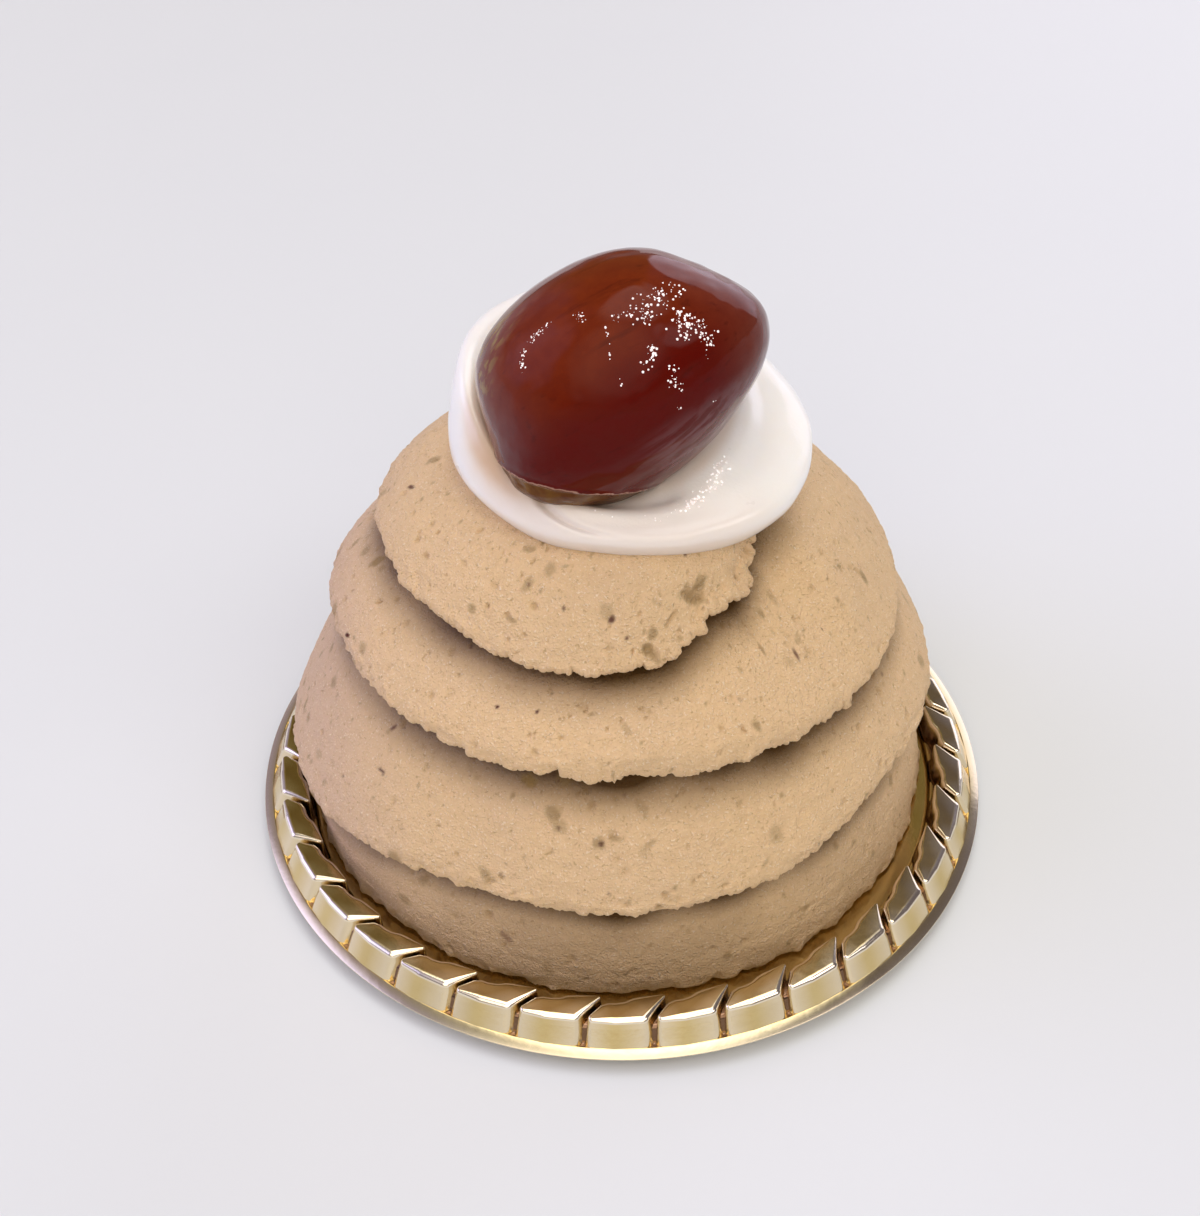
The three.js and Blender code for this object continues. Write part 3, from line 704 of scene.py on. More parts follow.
def build_chestnut():
    """The chestnut's skin on a grid of latitudes and turns about the axis towards the front."""
    latitude = np.pi * (np.arange(1, CHESTNUT_ROWS) / CHESTNUT_ROWS - 0.5)[:, None]
    turn = (-2 * np.pi * np.arange(CHESTNUT_COLUMNS) / CHESTNUT_COLUMNS)[None, :]
    local = chestnut_skin(latitude, turn)
    ends = chestnut_skin(np.array([-np.pi / 2, np.pi / 2]), np.zeros(2))
    axes = chestnut_axes()
    first, last = CHESTNUT_CENTRE + ends @ axes
    obj = rings_mesh("chestnut_skin", first, CHESTNUT_CENTRE + local @ axes, last)
    keep_place(obj, "nut", np.concatenate([local.reshape(-1, 3), ends]))
    return obj


def put_beads(name, centres, radii):
    """Tiny balls, each of two rings between two poles."""
    around_ball = 2 * np.pi * np.arange(BEAD_SIDES) / BEAD_SIDES
    level = np.radians([-30, 30])[:, None]
    ball = np.stack([np.cos(level) * np.cos(around_ball), np.cos(level) * np.sin(around_ball),
                     np.sin(level) + 0 * around_ball], axis=-1).reshape(-1, 3)
    ball = np.concatenate([ball, [[0, 0, -1], [0, 0, 1]]])
    ring = np.arange(BEAD_SIDES)
    low_pole, high_pole = len(ball) - 2, len(ball) - 1
    faces = np.concatenate([fan_faces(ring, low_pole, flip=True),
                            fan_faces(BEAD_SIDES + ring, high_pole)])
    belt = grid_faces(2, BEAD_SIDES, close_rows=True)[:, ::-1]
    start = (len(ball) * np.arange(len(radii)))[:, None, None]
    points = centres[:, None] + radii[:, None, None] * ball
    return put_mesh(name, points.reshape(-1, 3),
                    [(belt + start).reshape(-1, 4), (faces + start).reshape(-1, 3)])


def bead_radii(draw, count, largest):
    """Random radii up to the largest, with small ones more common."""
    return largest * draw.uniform(0.3, 1, count) ** 1.5


def build_glints():
    """White beads as painted glints, strewn along short lines on the chestnut and half sunk in its skin.
    """
    draw = np.random.default_rng(GLINT_SEED)
    centres, radii = [], []
    for turn_1, level_1, turn_2, level_2, spread, count, largest in GLINT_LINES:
        turns, levels = np.radians([turn_1, turn_2]), np.radians([level_1, level_2])
        ends = chestnut_point(levels, turns)
        share = draw.uniform(0, 1, (count, 1))
        spot = ends[0] * (1 - share) + ends[1] * share + draw.normal(0, spread, (count, 3))
        spot = spot / CHESTNUT_SIZE
        level = np.arctan2(spot[:, 2], np.hypot(spot[:, 0], spot[:, 1]))
        centres.append(chestnut_skin(level, np.arctan2(spot[:, 1], spot[:, 0])))
        radii.append(bead_radii(draw, count, largest))
    centres = CHESTNUT_CENTRE + np.concatenate(centres) @ chestnut_axes()
    return put_beads("syrup_glints", centres, np.concatenate(radii))


# ------------------------------------------------------------------ whipped cream

def cream_rings():
    """The dollop as rings of points from under it to its middle (rows, columns, 3).

    Its section is a curve through nine knots, whose reach and height change round the dollop. Slow
    dents, a fold at the front left and a hollow in the front are sunk into it.
    """
    degrees = 360 * np.arange(CREAM_COLUMNS) / CREAM_COLUMNS
    radius, widest, share, crest, dent, fill = around(CREAM_RING, degrees).T
    one = np.ones(CREAM_COLUMNS)
    climb = crest - widest
    reach = np.array([0.55 * one, 0.80 * one, 0.94 * one, one, 0.985 * one, 0.5 + 0.5 * share,
                      share, 0.74 * share + 0.1, 0.30 * one])
    height = np.array([widest - 4.9, widest - 3.4, widest - 1.7, widest, widest + 0.45 * climb,
                       crest - 0.7, crest, crest - dent, fill])
    knots = np.column_stack([CREAM_PLACES, np.eye(len(CREAM_PLACES))])
    place = np.linspace(0, CREAM_PLACES[-1], CREAM_ROWS)
    weights = through(knots, place)
    reach, height = weights @ reach, weights @ height
    turn = np.radians(degrees)
    rings = np.stack([
        CREAM_AXIS[0] + reach * radius * np.cos(turn),
        CREAM_AXIS[1] + reach * radius * np.sin(turn),
        height,
    ], axis=-1)
    out = -grid_normals(rings)
    place = place[:, None]
    fold = through(FOLD_LINE, degrees)
    relief = 0.25 * cloud(rings, 7.0, 101) + 0.06 * cloud(rings, 2.6, 111)
    near_fold = hump(degrees - FOLD_MIDDLE, FOLD_REACH)
    relief -= FOLD_DEPTH * near_fold * np.exp(-((place - fold.T) / 0.7) ** 2)
    middle, reach_of_hollow, across, depth = FRONT_HOLLOW
    near_hollow = hump(degrees - middle, reach_of_hollow)
    relief -= depth * near_hollow * np.exp(-((place - across) / 1.2) ** 2)
    inner = smooth(place / 3) * smooth((CREAM_PLACES[-1] - place) / 3)
    return rings + out * (relief * inner)[..., None]


def syrup_stain(points):
    """How stained the cream is: near the chestnut, and most at the front left of it."""
    local = (points - CHESTNUT_CENTRE) @ chestnut_axes().T / CHESTNUT_SIZE
    distance = (np.linalg.norm(local, axis=1) - 1) * CHESTNUT_MIDDLING
    side = np.degrees(np.arctan2(points[:, 1] - CREAM_AXIS[1], points[:, 0] - CREAM_AXIS[0])) % 360
    return (smooth((2.6 - distance) / 2.4) * hump(side - 228, 42)
            + 0.45 * smooth((1.3 - distance) / 1.2))


def build_cream(rings):
    """The dollop of whipped cream, closed by a point under it and one in its middle."""
    first = np.array([*CREAM_AXIS, CREAM_UNDER])
    last = np.array([*CREAM_AXIS, CREAM_HOLLOW])
    obj = rings_mesh("cream_dollop", first, rings, last)
    keep_value(obj, "syrup", syrup_stain(np.concatenate([rings.reshape(-1, 3), [first], [last]])))
    return obj


def build_cream_beads(rings):
    """Painted wet sparkles: white glowing beads half sunk in the dollop, strewn along a few short lines.
    """
    draw = np.random.default_rng(CREAM_BEAD_SEED)
    spread_turn, spread_place = CREAM_BEAD_SPREAD
    centres, radii = [], []
    for turn_1, place_1, turn_2, place_2, count, largest in CREAM_BEADS:
        share = draw.uniform(0, 1, count)
        turn = turn_1 + share * (turn_2 - turn_1) + draw.normal(0, spread_turn, count)
        place = place_1 + share * (place_2 - place_1) + draw.normal(0, spread_place, count)
        rows = np.round(place / CREAM_PLACES[-1] * (rings.shape[0] - 1)).astype(int)
        columns = np.round(turn / 360 * rings.shape[1]).astype(int) % rings.shape[1]
        centres.append(rings[rows, columns])
        radii.append(bead_radii(draw, count, largest))
    return put_beads("cream_glints", np.concatenate(centres), np.concatenate(radii))


# ------------------------------------------------------------------ tray

def corner_arc(before, here, after, radius, steps, room=math.inf):
    """Points on the arc that rounds a corner of an outline.

    It touches both sides at the radius over the tangent of half the angle between them, or at
    the room there is, where that is less.
    """
    back, ahead = unit(before - here), unit(after - here)
    half = math.acos(float(np.clip(back @ ahead, -1, 1))) / 2
    reach = min(radius / math.tan(half), room)
    radius = reach * math.tan(half)
    middle = here + unit(back + ahead) * radius / math.sin(half)
    start, end = here + back * reach - middle, here + ahead * reach - middle
    share = np.linspace(0, 1, steps)[:, None]
    return middle + unit(start * (1 - share) + end * share) * radius


def rounded_outline(corners, steps):
    """A closed outline whose corners, given as x, y and radius, are arcs."""
    corners = np.asarray(corners, float)
    arcs = []
    for before, here, after in zip(np.roll(corners, 1, axis=0), corners, np.roll(corners, -1, axis=0)):
        before, here, after, radius = before[:2], here[:2], after[:2], here[2]
        room = 0.48 * min(np.linalg.norm(before - here), np.linalg.norm(after - here))
        arcs.append(corner_arc(before, here, after, radius, steps, room))
    return np.concatenate(arcs)


def rounded_profile(corners, steps):
    """An open outline of radius and height, whose inner corners are arcs of the given radius."""
    corners = np.asarray(corners, float)
    arcs = [corner_arc(before[:2], here[:2], after[:2], here[2], steps)
            for before, here, after in zip(corners[:-2], corners[1:-1], corners[2:])]
    return np.concatenate([corners[:1, :2], *arcs, corners[-1:, :2]])


def block_profile():
    """Rows of a block's section: share of the lean, step outwards, height and shine."""
    shoulder = BLOCK_TOP - BLOCK_EDGE
    foot = GUTTER + FOOT_FILLET
    rows = [(1.0, 0.25, GUTTER - 0.15, 0), (1.0, 0.05, GUTTER + 0.12, 0),
            (SLOPE_AT_FOOT, 0.0, foot, 0)]
    rows += [(SLOPE_AT_FOOT * (1 - t), 0.0, foot + t * (shoulder - foot), 0)
             for t in (0.25, 0.5, 0.75)]
    rows += [(0.0, -BLOCK_EDGE * (1 - math.cos(bend)), shoulder + BLOCK_EDGE * math.sin(bend),
              math.sin(2 * bend) ** 0.5) for bend in np.radians(np.linspace(0, 90, EDGE_STEPS))]
    return rows + [(0.0, -BLOCK_EDGE - 0.06, BLOCK_TOP, 0), (0.0, -BLOCK_EDGE - 0.15, BLOCK_TOP, 0)]


def block_rings():
    """One block's rings (count, around, 3), with its groove at the angle 0.

    From a fillet in the gutter up the sloping sides, round the bright edge and over the top. Also
    how strongly each point takes the painted highlight, and how much painted shade, by how deep in the
    grooves it lies.
    """
    corners = [(r * math.cos(math.radians(a)), r * math.sin(math.radians(a)), edge)
               for r, a, edge in BLOCK_OUTLINE]
    inner_corners = len(corners) - OUTER_CORNERS
    outline = rounded_outline(corners, BLOCK_ARC)
    tangent = unit(np.roll(outline, -1, axis=0) - np.roll(outline, 1, axis=0))
    away = np.stack([tangent[:, 1], -tangent[:, 0]], axis=-1)
    distance = np.linalg.norm(outline, axis=1, keepdims=True)
    lean = away * SIDE_DRAFT + outline / distance * OUTER_SLOPE * smooth((distance - 36.9) / 0.6)
    sharp = [BLOCK_TIP_EDGE.get(i, 1.0) for i in range(len(corners))]
    sharp = np.repeat(sharp, BLOCK_ARC)[:, None]
    profile = block_profile()
    rings = [np.column_stack([outline + share * lean + away * step * (sharp if step < 0 else 1),
                              np.full(len(outline), height)])
             for share, step, height, _ in profile]
    _, _, heights, shine = np.array(profile).T
    ends = np.repeat([1, 0, 1] + [0] * inner_corners, BLOCK_ARC)
    bright = np.maximum(shine[:, None], CORNER_SHINE * ends)
    outer = np.repeat([1] * OUTER_CORNERS + [0] * inner_corners, BLOCK_ARC)
    # painted shade: low on the sides that face the grooves, and some over the top
    low = smooth((BLOCK_TOP - BLOCK_EDGE - heights) / 0.8)[:, None] * (1 - outer)
    low[-2:] = TOP_TONE
    return np.array(rings), bright, low


def block_lid(ring):
    """Triangles that close a block's top ring, all facing the same way."""
    lid = np.array(tessellate_polygon([[Vector(point) for point in ring]]))
    a, b, c = (ring[lid[:, i]] for i in range(3))
    upside = np.cross(b - a, c - a)[:, 2] < 0
    lid[upside] = lid[upside][:, ::-1]
    return lid


def build_tray():
    """The pressed sheet as a turned plate, with the ring of blocks standing in its gutter."""
    profile = rounded_profile(SHEET_PROFILE, PROFILE_ARC)[1:-1]
    radius, height = profile[:, 0:1], profile[:, 1:2]
    turn = 2 * np.pi * np.arange(SHEET_COLUMNS) / SHEET_COLUMNS
    rings = np.stack([radius * np.cos(turn), radius * np.sin(turn), height + 0 * turn], axis=-1)
    count, size = rings.shape[:2]
    ring = np.arange(size)
    points = [rings.reshape(-1, 3), [[0, 0, 0.0]], [[0, 0, TRAY_FLOOR]]]
    sides = [grid_faces(count, size, close_rows=True)[:, ::-1]]
    caps = [fan_faces(ring, count * size, flip=True),
            fan_faces((count - 1) * size + ring, count * size + 1)]
    # painted highlight along the flange's edge
    rim = RIM_SHINE * smooth((radius - 39.0) / 0.3) + 0 * turn
    # painted shade in the gutter
    gutter = smooth((radius - 34.9) / 0.4) * smooth((FLANGE_INNER - radius) / 0.15) + 0 * turn
    painted_highlight, painted_recess_shade = [np.append(rim, [0, 0])], [np.append(gutter, [0, 0])]

    block, bright, low = block_rings()
    lid = block_lid(block[-1])
    used = count * size + 2
    count, size = block.shape[:2]
    for i in range(BLOCK_COUNT):
        spin = math.radians(FIRST_GROOVE + 360 / BLOCK_COUNT * i)
        turned = np.array([[math.cos(spin), math.sin(spin), 0],
                           [-math.sin(spin), math.cos(spin), 0], [0, 0, 1]])
        points.append((block @ turned).reshape(-1, 3))
        sides.append(grid_faces(count, size, start=used, close_rows=True)[:, ::-1])
        caps += [used + lid[:, ::-1], used + (count - 1) * size + lid]
        painted_highlight.append(bright.ravel())
        painted_recess_shade.append(low.ravel())
        used += count * size
    obj = put_mesh("tray_sheet", np.concatenate(points),
                   [np.concatenate(sides), np.concatenate(caps)])
    keep_value(obj, "painted_highlight", np.concatenate(painted_highlight))
    keep_value(obj, "painted_recess_shade", np.concatenate(painted_recess_shade))
    return obj


# ------------------------------------------------------------------ helpers for materials

def linear_tones(table):
    """The colours of a table, given as seen on a screen from 0 to 255, made linear."""
    tones = {}
    for name, seen in table.items():
        seen = np.array(seen) / 255
        linear = np.where(seen <= 0.04045, seen / 12.92, ((seen + 0.055) / 1.055) ** 2.4)
        tones[name] = (*linear.tolist(), 1.0)
    return tones


def feed(tree, socket, value):
    """Links a value that is a socket, and sets any other."""
    if isinstance(value, bpy.types.NodeSocket):
        tree.links.new(value, socket)
    else:
        socket.default_value = value


def add(tree, kind, settings=None, **inputs):
    """A shader node with its settings, and with its inputs set or linked by name."""
    node = tree.nodes.new("ShaderNode" + kind)
    for name, value in (settings or {}).items():
        setattr(node, name, value)
    for name, value in inputs.items():
        feed(tree, node.inputs[name.replace("_", " ")], value)
    return node


def maths(tree, operation, first, second=0.0):
    """One arithmetic step."""
    node = add(tree, "Math", {"operation": operation})
    feed(tree, node.inputs[0], first)
    feed(tree, node.inputs[1], second)
    return node.outputs[0]


def times(tree, first, second):
    """The product of two values."""
    return maths(tree, "MULTIPLY", first, second)


def plus(tree, first, second):
    """The sum of two values."""
    return maths(tree, "ADD", first, second)


def along_direction(tree, vector, direction):
    """How far a vector reaches in a direction: their dot product."""
    node = add(tree, "VectorMath", {"operation": "DOT_PRODUCT"})
    feed(tree, node.inputs[0], vector)
    node.inputs[1].default_value = direction
    return node.outputs["Value"]


def between(tree, value, low, high):
    """0 below low and 1 above high, smooth between."""
    node = add(tree, "MapRange", {"interpolation_type": "SMOOTHSTEP"}, Value=value,
               From_Min=low, From_Max=high)
    return node.outputs["Result"]


def mix(tree, share, first, second):
    """From the first colour to the second."""
    node = add(tree, "Mix", {"data_type": "RGBA"})
    feed(tree, node.inputs[0], share)
    feed(tree, node.inputs[6], first)
    feed(tree, node.inputs[7], second)
    return node.outputs[2]


def stored(tree, name, output="Fac"):
    """A value or vector that the mesh stores for each point."""
    return add(tree, "Attribute", {"attribute_name": name}).outputs[output]


def noise(tree, place, size, detail=2.0, roughness=0.5):
    """Noise from about 0 to 1 with features of a size in mm, on coordinates in metres."""
    node = add(tree, "TexNoise", Vector=place, Scale=1 / (size * MM), Detail=detail,
               Roughness=roughness)
    return node.outputs["Fac"]


def new_group(name, inputs, outputs):
    """A shader node group with named inputs and outputs."""
    tree = bpy.data.node_groups.new(name, "ShaderNodeTree")
    for label, kind, value in inputs:
        socket = tree.interface.new_socket(label, in_out="INPUT", socket_type="NodeSocket" + kind)
        if value is not None:
            socket.default_value = value
    for label, kind in outputs:
        tree.interface.new_socket(label, in_out="OUTPUT", socket_type="NodeSocket" + kind)
    start = tree.nodes.new("NodeGroupInput")
    end = tree.nodes.new("NodeGroupOutput")
    return tree, start.outputs, end.inputs


def use_group(tree, group, **inputs):
    """Places a group in a material."""
    node = add(tree, "Group", {"node_tree": group})
    for name, value in inputs.items():
        feed(tree, node.inputs[name.replace("_", " ")], value)
    return node.outputs


def new_material(name):
    """A material: returns it, its tree, its Principled shader and the place on the object."""
    material = bpy.data.materials.new(name)
    material.use_nodes = True
    tree = material.node_tree
    place = add(tree, "TexCoord").outputs["Object"]
    return material, tree, tree.nodes["Principled BSDF"], place


def set_inputs(shader, **values):
    """Sets the shader's own sockets that are the same all over the piece."""
    for name, value in values.items():
        shader.inputs[name.replace("_", " ")].default_value = value


def roughen(tree, shader, height, strength, distance):
    """Fine relief that follows a height, up to a distance in mm."""
    bump = add(tree, "Bump", Strength=strength, Distance=distance * MM, Height=height)
    feed(tree, shader.inputs["Normal"], bump.outputs["Normal"])


def wear(obj, material):
    """Gives the piece this one material."""
    obj.data.materials.clear()
    obj.data.materials.append(material)


# ------------------------------------------------------------------ materials

def make_mottle_group():
    """Slow patches of tone: soft noise of a size, pushed apart by a contrast."""
    tree, start, end = new_group(
        "Mottle", [("Place", "Vector", None), ("Size", "Float", 5.0), ("Contrast", "Float", 0.3)],
        [("Amount", "Float")])
    scale = maths(tree, "DIVIDE", 1 / MM, start["Size"])
    cloudy = add(tree, "TexNoise", Vector=start["Place"], Scale=scale, Detail=3.0, Roughness=0.55)
    low = maths(tree, "SUBTRACT", 0.5, start["Contrast"])
    high = maths(tree, "ADD", 0.5, start["Contrast"])
    feed(tree, end["Amount"], between(tree, cloudy.outputs["Fac"], low, high))
    return tree


def make_grain_group():
    """Fine sandy grain of a size: its height, and where single grains are pale or dark."""
    tree, start, end = new_group(
        "Grain", [("Place", "Vector", None), ("Size", "Float", 0.4)],
        [("Height", "Float"), ("Pale", "Float"), ("Dark", "Float")])
    scale = maths(tree, "DIVIDE", 1 / MM, start["Size"])
    sand = add(tree, "TexNoise", Vector=start["Place"], Scale=scale, Detail=4.0, Roughness=0.65)
    finer = maths(tree, "MULTIPLY", scale, 1.7)
    grains = add(tree, "TexNoise", Vector=start["Place"], Scale=finer, Detail=1.0, Roughness=0.5)
    coarse = maths(tree, "MULTIPLY", scale, 0.8)
    holes = add(tree, "TexNoise", Vector=start["Place"], Scale=coarse, Detail=2.0, Roughness=0.6,
                Distortion=0.4)
    feed(tree, end["Height"], maths(tree, "ADD", sand.outputs["Fac"], grains.outputs["Fac"]))
    feed(tree, end["Pale"], between(tree, grains.outputs["Fac"], 0.60, 0.74))
    feed(tree, end["Dark"], between(tree, holes.outputs["Fac"], 0.40, 0.27))
    return tree


def make_paste(mottle, grain):
    """Chestnut paste: warm beige, finely granular and matte, with olive flecks and dark specks, and
    painted shade under its lips, round its front foot, in its pits and on its left side.
    """
    material, tree, shader, place = new_material("Chestnut paste")
    tones = linear_tones(PASTE_TONES)
    patches = use_group(tree, mottle, Place=place, Size=9.0, Contrast=0.2)["Amount"]
    small = use_group(tree, mottle, Place=place, Size=1.1, Contrast=0.25)["Amount"]
    grains = use_group(tree, grain, Place=place, Size=0.36)
    sideways = add(tree, "SeparateXYZ", Vector=place).outputs[0]
    # painted lilac-grey shade over the dome's left side
    painted_left_shade = times(tree, between(tree, sideways, -19 * MM, -31 * MM), 0.5)
    # painted shade under the lips and round the front foot, lilac-grey at the left, olive-brown and
    # stronger at the right
    rightwards = between(tree, sideways, -22 * MM, 2 * MM)
    shade_tone = mix(tree, rightwards, tones["painted shade left"], tones["painted shade right"])
    deeper = plus(tree, 1.0, times(tree, rightwards, 0.28))
    hollow = times(tree, stored(tree, "hollow"), deeper)

    tone = mix(tree, patches, tones["pale"], tones["warm"])
    tone = mix(tree, painted_left_shade, tone, tones["painted_left_shade"])
    tone = mix(tree, times(tree, small, 0.25), tone, tones["mottled"])
    tone = mix(tree, times(tree, grains["Dark"], 0.55), tone, tones["dark grain"])
    tone = mix(tree, times(tree, grains["Pale"], 0.65), tone, tones["pale grain"])
    tone = mix(tree, hollow, tone, shade_tone)
    # darker in the pits: painted shade
    tone = mix(tree, times(tree, stored(tree, "pit"), 1.1), tone, tones["pit"])
    tone = mix(tree, stored(tree, "olive"), tone, tones["olive"])
    tone = mix(tree, stored(tree, "dark"), tone, tones["speck"])
    feed(tree, shader.inputs["Base Color"], tone)
    rough = maths(tree, "SUBTRACT", 0.75, times(tree, grains["Pale"], 0.3))
    feed(tree, shader.inputs["Roughness"], rough)
    roughen(tree, shader, grains["Height"], 1.0, 0.28)
    set_inputs(shader, Subsurface_Weight=0.08, Subsurface_Radius=(1.0, 0.6, 0.35),
               Subsurface_Scale=1.0 * MM, Specular_IOR_Level=0.35)
    return material


def make_cream(mottle, grain):
    """Whipped cream: white with a satin shine, stained by syrup, with painted shade over its front."""
    material, tree, shader, place = new_material("Whipped cream")
    tones = linear_tones(CREAM_TONES)
    patches = use_group(tree, mottle, Place=place, Size=6.0, Contrast=0.5)["Amount"]
    grains = use_group(tree, grain, Place=place, Size=0.5)
    uneven = plus(tree, 0.6, times(tree, patches, 0.3))
    backwards = add(tree, "SeparateXYZ", Vector=place).outputs[1]
    # painted pinkish shade over the front of the dollop
    painted_front_shade = times(tree, between(tree, backwards, -6 * MM, -14 * MM), 0.8)

    tone = mix(tree, patches, tones["white"], tones["warm"])
    tone = mix(tree, times(tree, stored(tree, "syrup"), uneven), tone, tones["syrup"])
    tone = mix(tree, painted_front_shade, tone, tones["painted_front_shade"])
    feed(tree, shader.inputs["Base Color"], tone)
    feed(tree, shader.inputs["Roughness"], plus(tree, 0.26, times(tree, patches, 0.06)))
    roughen(tree, shader, grains["Height"], 0.35, 0.05)
    set_inputs(shader, Subsurface_Weight=0.25, Subsurface_Radius=(1.0, 0.85, 0.7),
               Subsurface_Scale=1.6 * MM, Coat_Weight=0.6, Coat_Roughness=0.08)
    return material


def make_chestnut(mottle):
    """Candied chestnut: deep red-brown under syrup, orange-brown above, with an olive scar, and painted
    reflections: olive along its upper left side and lilac at its left end and lower side.

    Its marks follow the chestnut's own axes: along it, across its flat side and forward, in mm.
    """
    material, tree, shader, place = new_material("Candied chestnut")
    tones = linear_tones(CHESTNUT_TONES)
    nut = stored(tree, "nut", "Vector")
    along, across, forward = add(tree, "SeparateXYZ", Vector=nut).outputs
    patches = use_group(tree, mottle, Place=place, Size=6.0, Contrast=0.3)["Amount"]
    fine = use_group(tree, mottle, Place=place, Size=1.4, Contrast=0.3)["Amount"]
    drawn = add(tree, "VectorMath", {"operation": "MULTIPLY"})
    feed(tree, drawn.inputs[0], nut)
    drawn.inputs[1].default_value = (0.12 * MM, 1.0 * MM, 1.0 * MM)
    streak = noise(tree, drawn.outputs[0], 0.8, 3.0)

    warm = between(tree, plus(tree, across, times(tree, patches, 3.0)), 4.5, -4.5)
    tone = mix(tree, warm, tones["deep"], tones["warm"])
    tip = times(tree, between(tree, along, 7.0, 12.0), 0.5)
    tone = mix(tree, tip, tone, tones["tip"])
    tone = mix(tree, times(tree, fine, 0.40), tone, tones["mottled"])
    dark_streaks = times(tree, between(tree, streak, 0.58, 0.75), 0.35)
    tone = mix(tree, dark_streaks, tone, tones["streak"])

    # painted olive reflection along the upper left side, towards the outline
    rim = times(tree, between(tree, forward, 7.4, 4.6), between(tree, across, -2.5, -6))
    rim = times(tree, rim, between(tree, streak, 0.44, 0.62))
    rim = times(tree, rim, between(tree, along, -2.5, -6.5))
    tone = mix(tree, rim, tone, tones["painted olive reflection"])

    # painted lilac reflection at the left end, and streaked along the lower side
    left = times(tree, between(tree, along, -6.0, -10.5), between(tree, across, 3.5, -0.5))
    lower = times(tree, between(tree, across, 5.0, 7.2), between(tree, along, -3.0, 2.0))
    streaky = times(tree, lower, between(tree, streak, 0.40, 0.62))
    painted_lilac_reflection = plus(tree, times(tree, left, 0.28), streaky)
    tone = mix(tree, times(tree, painted_lilac_reflection, 0.55), tone, tones["painted_lilac_reflection"])

    wander = times(tree, maths(tree, "SUBTRACT", streak, 0.5), 0.9)
    level = plus(tree, along_direction(tree, nut, SCAR_NORMAL), wander)
    below = maths(tree, "SUBTRACT", SCAR_LEVEL, level)
    scar = mix(tree, fine, tones["scar"], tones["scar dark"])
    tone = mix(tree, between(tree, below, 0.0, 0.3), tone, scar)
    line = times(tree, between(tree, below, -0.12, 0.0), between(tree, below, 0.14, 0.03))
    tone = mix(tree, times(tree, line, 0.7), tone, tones["scar line"])

    feed(tree, shader.inputs["Base Color"], tone)
    feed(tree, shader.inputs["Roughness"], plus(tree, 0.35, times(tree, fine, 0.15)))
    roughen(tree, shader, streak, 0.5, 0.05)
    facing = add(tree, "LayerWeight", Blend=0.5).outputs["Facing"]
    syrup = times(tree, between(tree, facing, 0.2, 0.55), 0.55)
    feed(tree, shader.inputs["Coat Weight"], plus(tree, 0.45, syrup))
    set_inputs(shader, Specular_IOR_Level=0.0, Coat_Roughness=0.06, Coat_IOR=1.28)
    return material


def make_glints(mottle):
    """Painted glints: white shiny beads that glow a little, slightly uneven in tone."""
    material, tree, shader, place = new_material("Syrup glints")
    tones = linear_tones(GLINT_TONES)
    patches = use_group(tree, mottle, Place=place, Size=0.6, Contrast=0.2)["Amount"]
    tone = mix(tree, patches, tones["white"], tones["dull"])
    feed(tree, shader.inputs["Base Color"], tone)
    # painted glints: the beads glow a little of themselves, though they are no lamp
    feed(tree, shader.inputs["Emission Color"], tone)
    set_inputs(shader, Emission_Strength=0.45, Roughness=0.15)
    return material


def make_gold(mottle):
    """Gold-coated pressed sheet: a near mirror, slightly wavy, with a soft tone variation, painted shade
    in its recesses and painted highlights on its edges.
    """
    material, tree, shader, place = new_material("Gold tray")
    tones = linear_tones(GOLD_TONES)
    patches = use_group(tree, mottle, Place=place, Size=3.0, Contrast=0.3)["Amount"]
    tone = mix(tree, patches, tones["gold"], tones["deeper gold"])
    # painted shade in the gutter, the grooves and on the blocks' tops
    tone = mix(tree, stored(tree, "painted_recess_shade"), tone, tones["painted_recess_shade"])
    # painted highlight on the flange, the blocks' rounded edges and their outer corners
    tone = mix(tree, stored(tree, "painted_highlight"), tone, tones["painted_highlight"])
    feed(tree, shader.inputs["Base Color"], tone)
    feed(tree, shader.inputs["Roughness"], plus(tree, 0.13, times(tree, patches, 0.06)))
    roughen(tree, shader, noise(tree, place, 1.2), 0.25, 0.05)
    set_inputs(shader, Metallic=1.0)
    return material


def make_floor_material():
    """Plain pale floor, with a barely visible unevenness of tone."""
    material, tree, shader, place = new_material("Pale floor")
    tones = linear_tones(FLOOR_TONES)
    tone = mix(tree, noise(tree, place, 60.0), tones["plain"], tones["shade"])
    feed(tree, shader.inputs["Base Color"], tone)
    set_inputs(shader, Roughness=0.5)
    return material


# ------------------------------------------------------------------ stage, light and camera

def build_floor():
    """A wide plain floor at the height that the tray stands on."""
    signs = np.array([(-1, -1, 0), (1, -1, 0), (1, 1, 0), (-1, 1, 0)], float)
    corners = FLOOR_HALF * signs
    floor = put_mesh("floor", corners, [np.array([[0, 1, 2, 3]])])
    wear(floor, make_floor_material())


def by_side(tree, sideways, backwards, tones):
    """A tone that changes from side to side round the room."""
    tone = mix(tree, between(tree, sideways, -0.6, 0.6), tones["left"], tones["right"])
    behind = mix(tree, between(tree, sideways, 0.13, 0.21), tones["back"], tones["back right"])
    behind = mix(tree, between(tree, sideways, -0.35, -0.55), behind, tones["left"])
    tone = mix(tree, between(tree, backwards, 0.25, 0.55), tone, behind)
    return mix(tree, between(tree, backwards, -0.2, -0.9), tone, tones["front"])


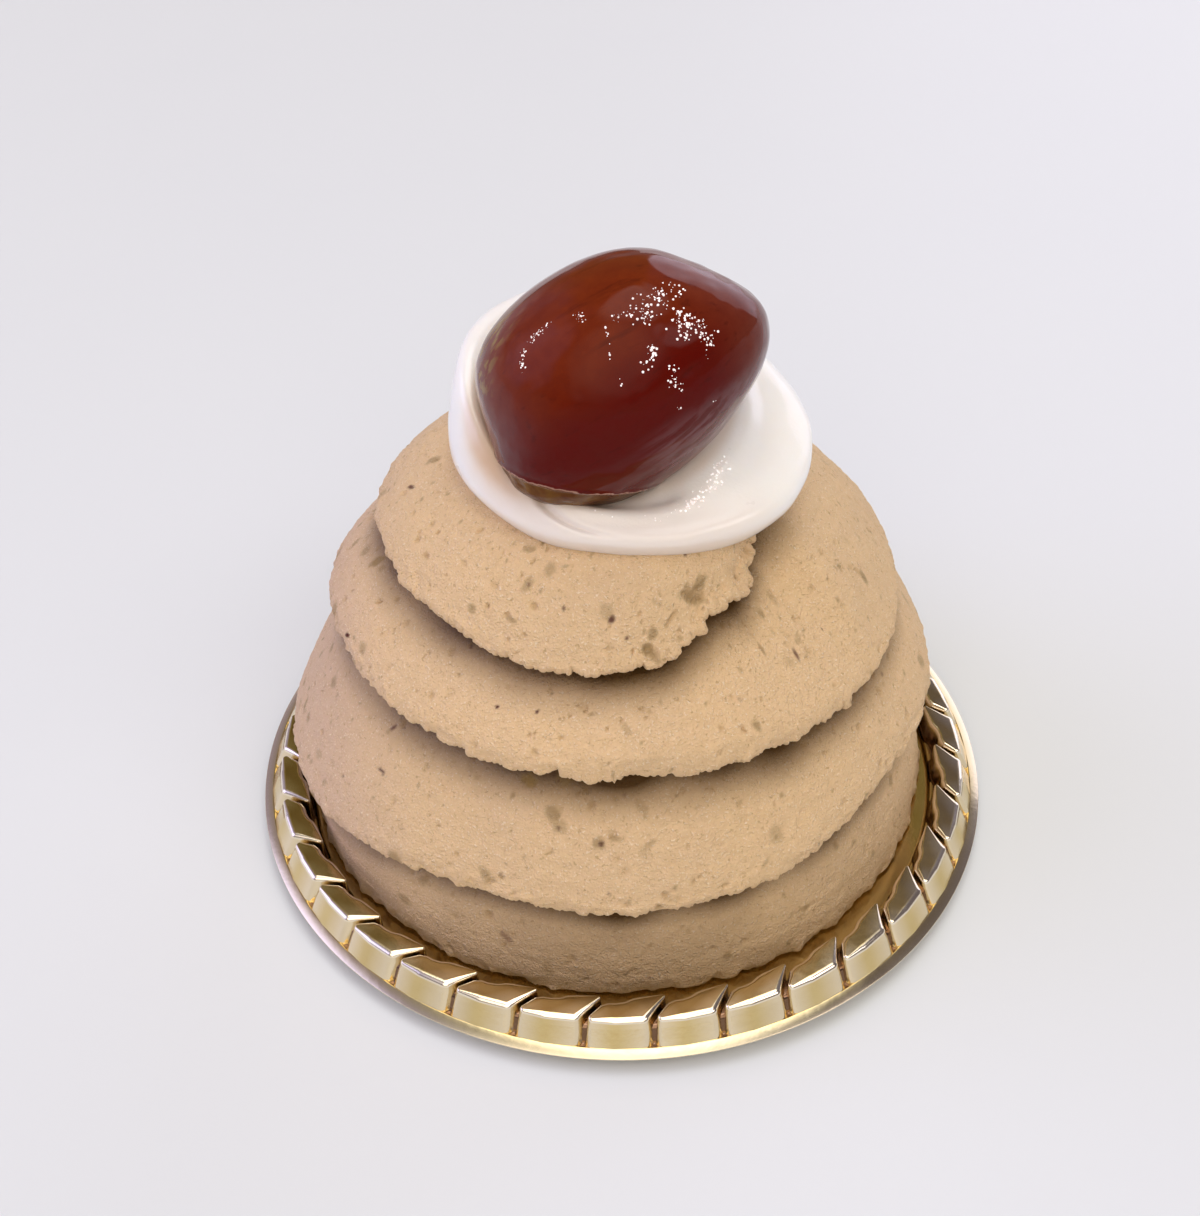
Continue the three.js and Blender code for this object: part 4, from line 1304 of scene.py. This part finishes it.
def build_light():
    """Soft studio light: a dim room with a pale horizon, lit by wide glows with soft edges."""
    world = bpy.data.worlds.new("Room")
    bpy.context.scene.world = world
    world.use_nodes = True
    tree = world.node_tree
    place = add(tree, "TexCoord").outputs["Generated"]
    sideways, backwards, height = add(tree, "SeparateXYZ", Vector=place).outputs
    tone = by_side(tree, sideways, backwards, ROOM_SIDES)
    tone = mix(tree, between(tree, height, 0.28, 0.10), tone,
               by_side(tree, sideways, backwards, HORIZON))
    tone = mix(tree, between(tree, height, 0.84, 0.95), tone, ROOM_ABOVE)
    for direction, fades, full, glow in GLOWS:
        towards = along_direction(tree, place, Vector(direction).normalized())
        tone = mix(tree, between(tree, towards, fades, full), tone, glow)
    feed(tree, tree.nodes["Background"].inputs["Color"], tone)
    tree.nodes["Background"].inputs["Strength"].default_value = 1.0


def build_camera():
    """The camera that the photograph was taken with, fitted to the tray."""
    yaw, pitch, roll = np.radians([CAMERA_YAW, CAMERA_PITCH, CAMERA_ROLL])
    ahead = np.array([np.sin(yaw) * np.cos(pitch), np.cos(yaw) * np.cos(pitch), -np.sin(pitch)])
    right = np.array([np.cos(yaw), -np.sin(yaw), 0])
    up = np.cross(right, ahead)
    turned_right = right * np.cos(roll) + up * np.sin(roll)
    turned_up = up * np.cos(roll) - right * np.sin(roll)
    matrix = np.eye(4)
    matrix[:3, :3] = np.column_stack([turned_right, turned_up, -ahead])
    matrix[:3, 3] = CAMERA_PLACE * MM
    data = bpy.data.cameras.new("camera")
    data.lens = CAMERA_LENS
    data.sensor_width = CAMERA_SENSOR
    data.clip_start = 5 * MM
    camera = bpy.data.objects.new("camera", data)
    camera.matrix_world = Matrix(matrix.tolist())
    bpy.context.scene.collection.objects.link(camera)
    bpy.context.scene.camera = camera


# ------------------------------------------------------------------ the whole

def dress(obj, material, slot, *nodes):
    """Finishes a piece: its material, the node it stands for and its body; the record slot is not used.
    """
    wear(obj, material)
    if nodes:
        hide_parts(*nodes)
    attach(obj, "root")


bpy.context.scene.view_settings.view_transform = "Standard"
mottle_group = make_mottle_group()
grain_group = make_grain_group()
paste = make_paste(mottle_group, grain_group)
for turn in build_dome():
    dress(turn, paste, "chestnut_paste", "chestnut_cream")
dollop_rings = cream_rings()
dress(build_cream(dollop_rings), make_cream(mottle_group, grain_group), "whipped_cream", "whipped_cream")
dress(build_chestnut(), make_chestnut(mottle_group), "candied_chestnut", "chestnut")
glints = make_glints(mottle_group)
dress(build_glints(), glints, "candied_chestnut", "chestnut")
dress(build_cream_beads(dollop_rings), glints, "candied_chestnut", "whipped_cream")
dress(build_tray(), make_gold(mottle_group), "gold_tray", "tray")
build_floor()
build_light()
build_camera()
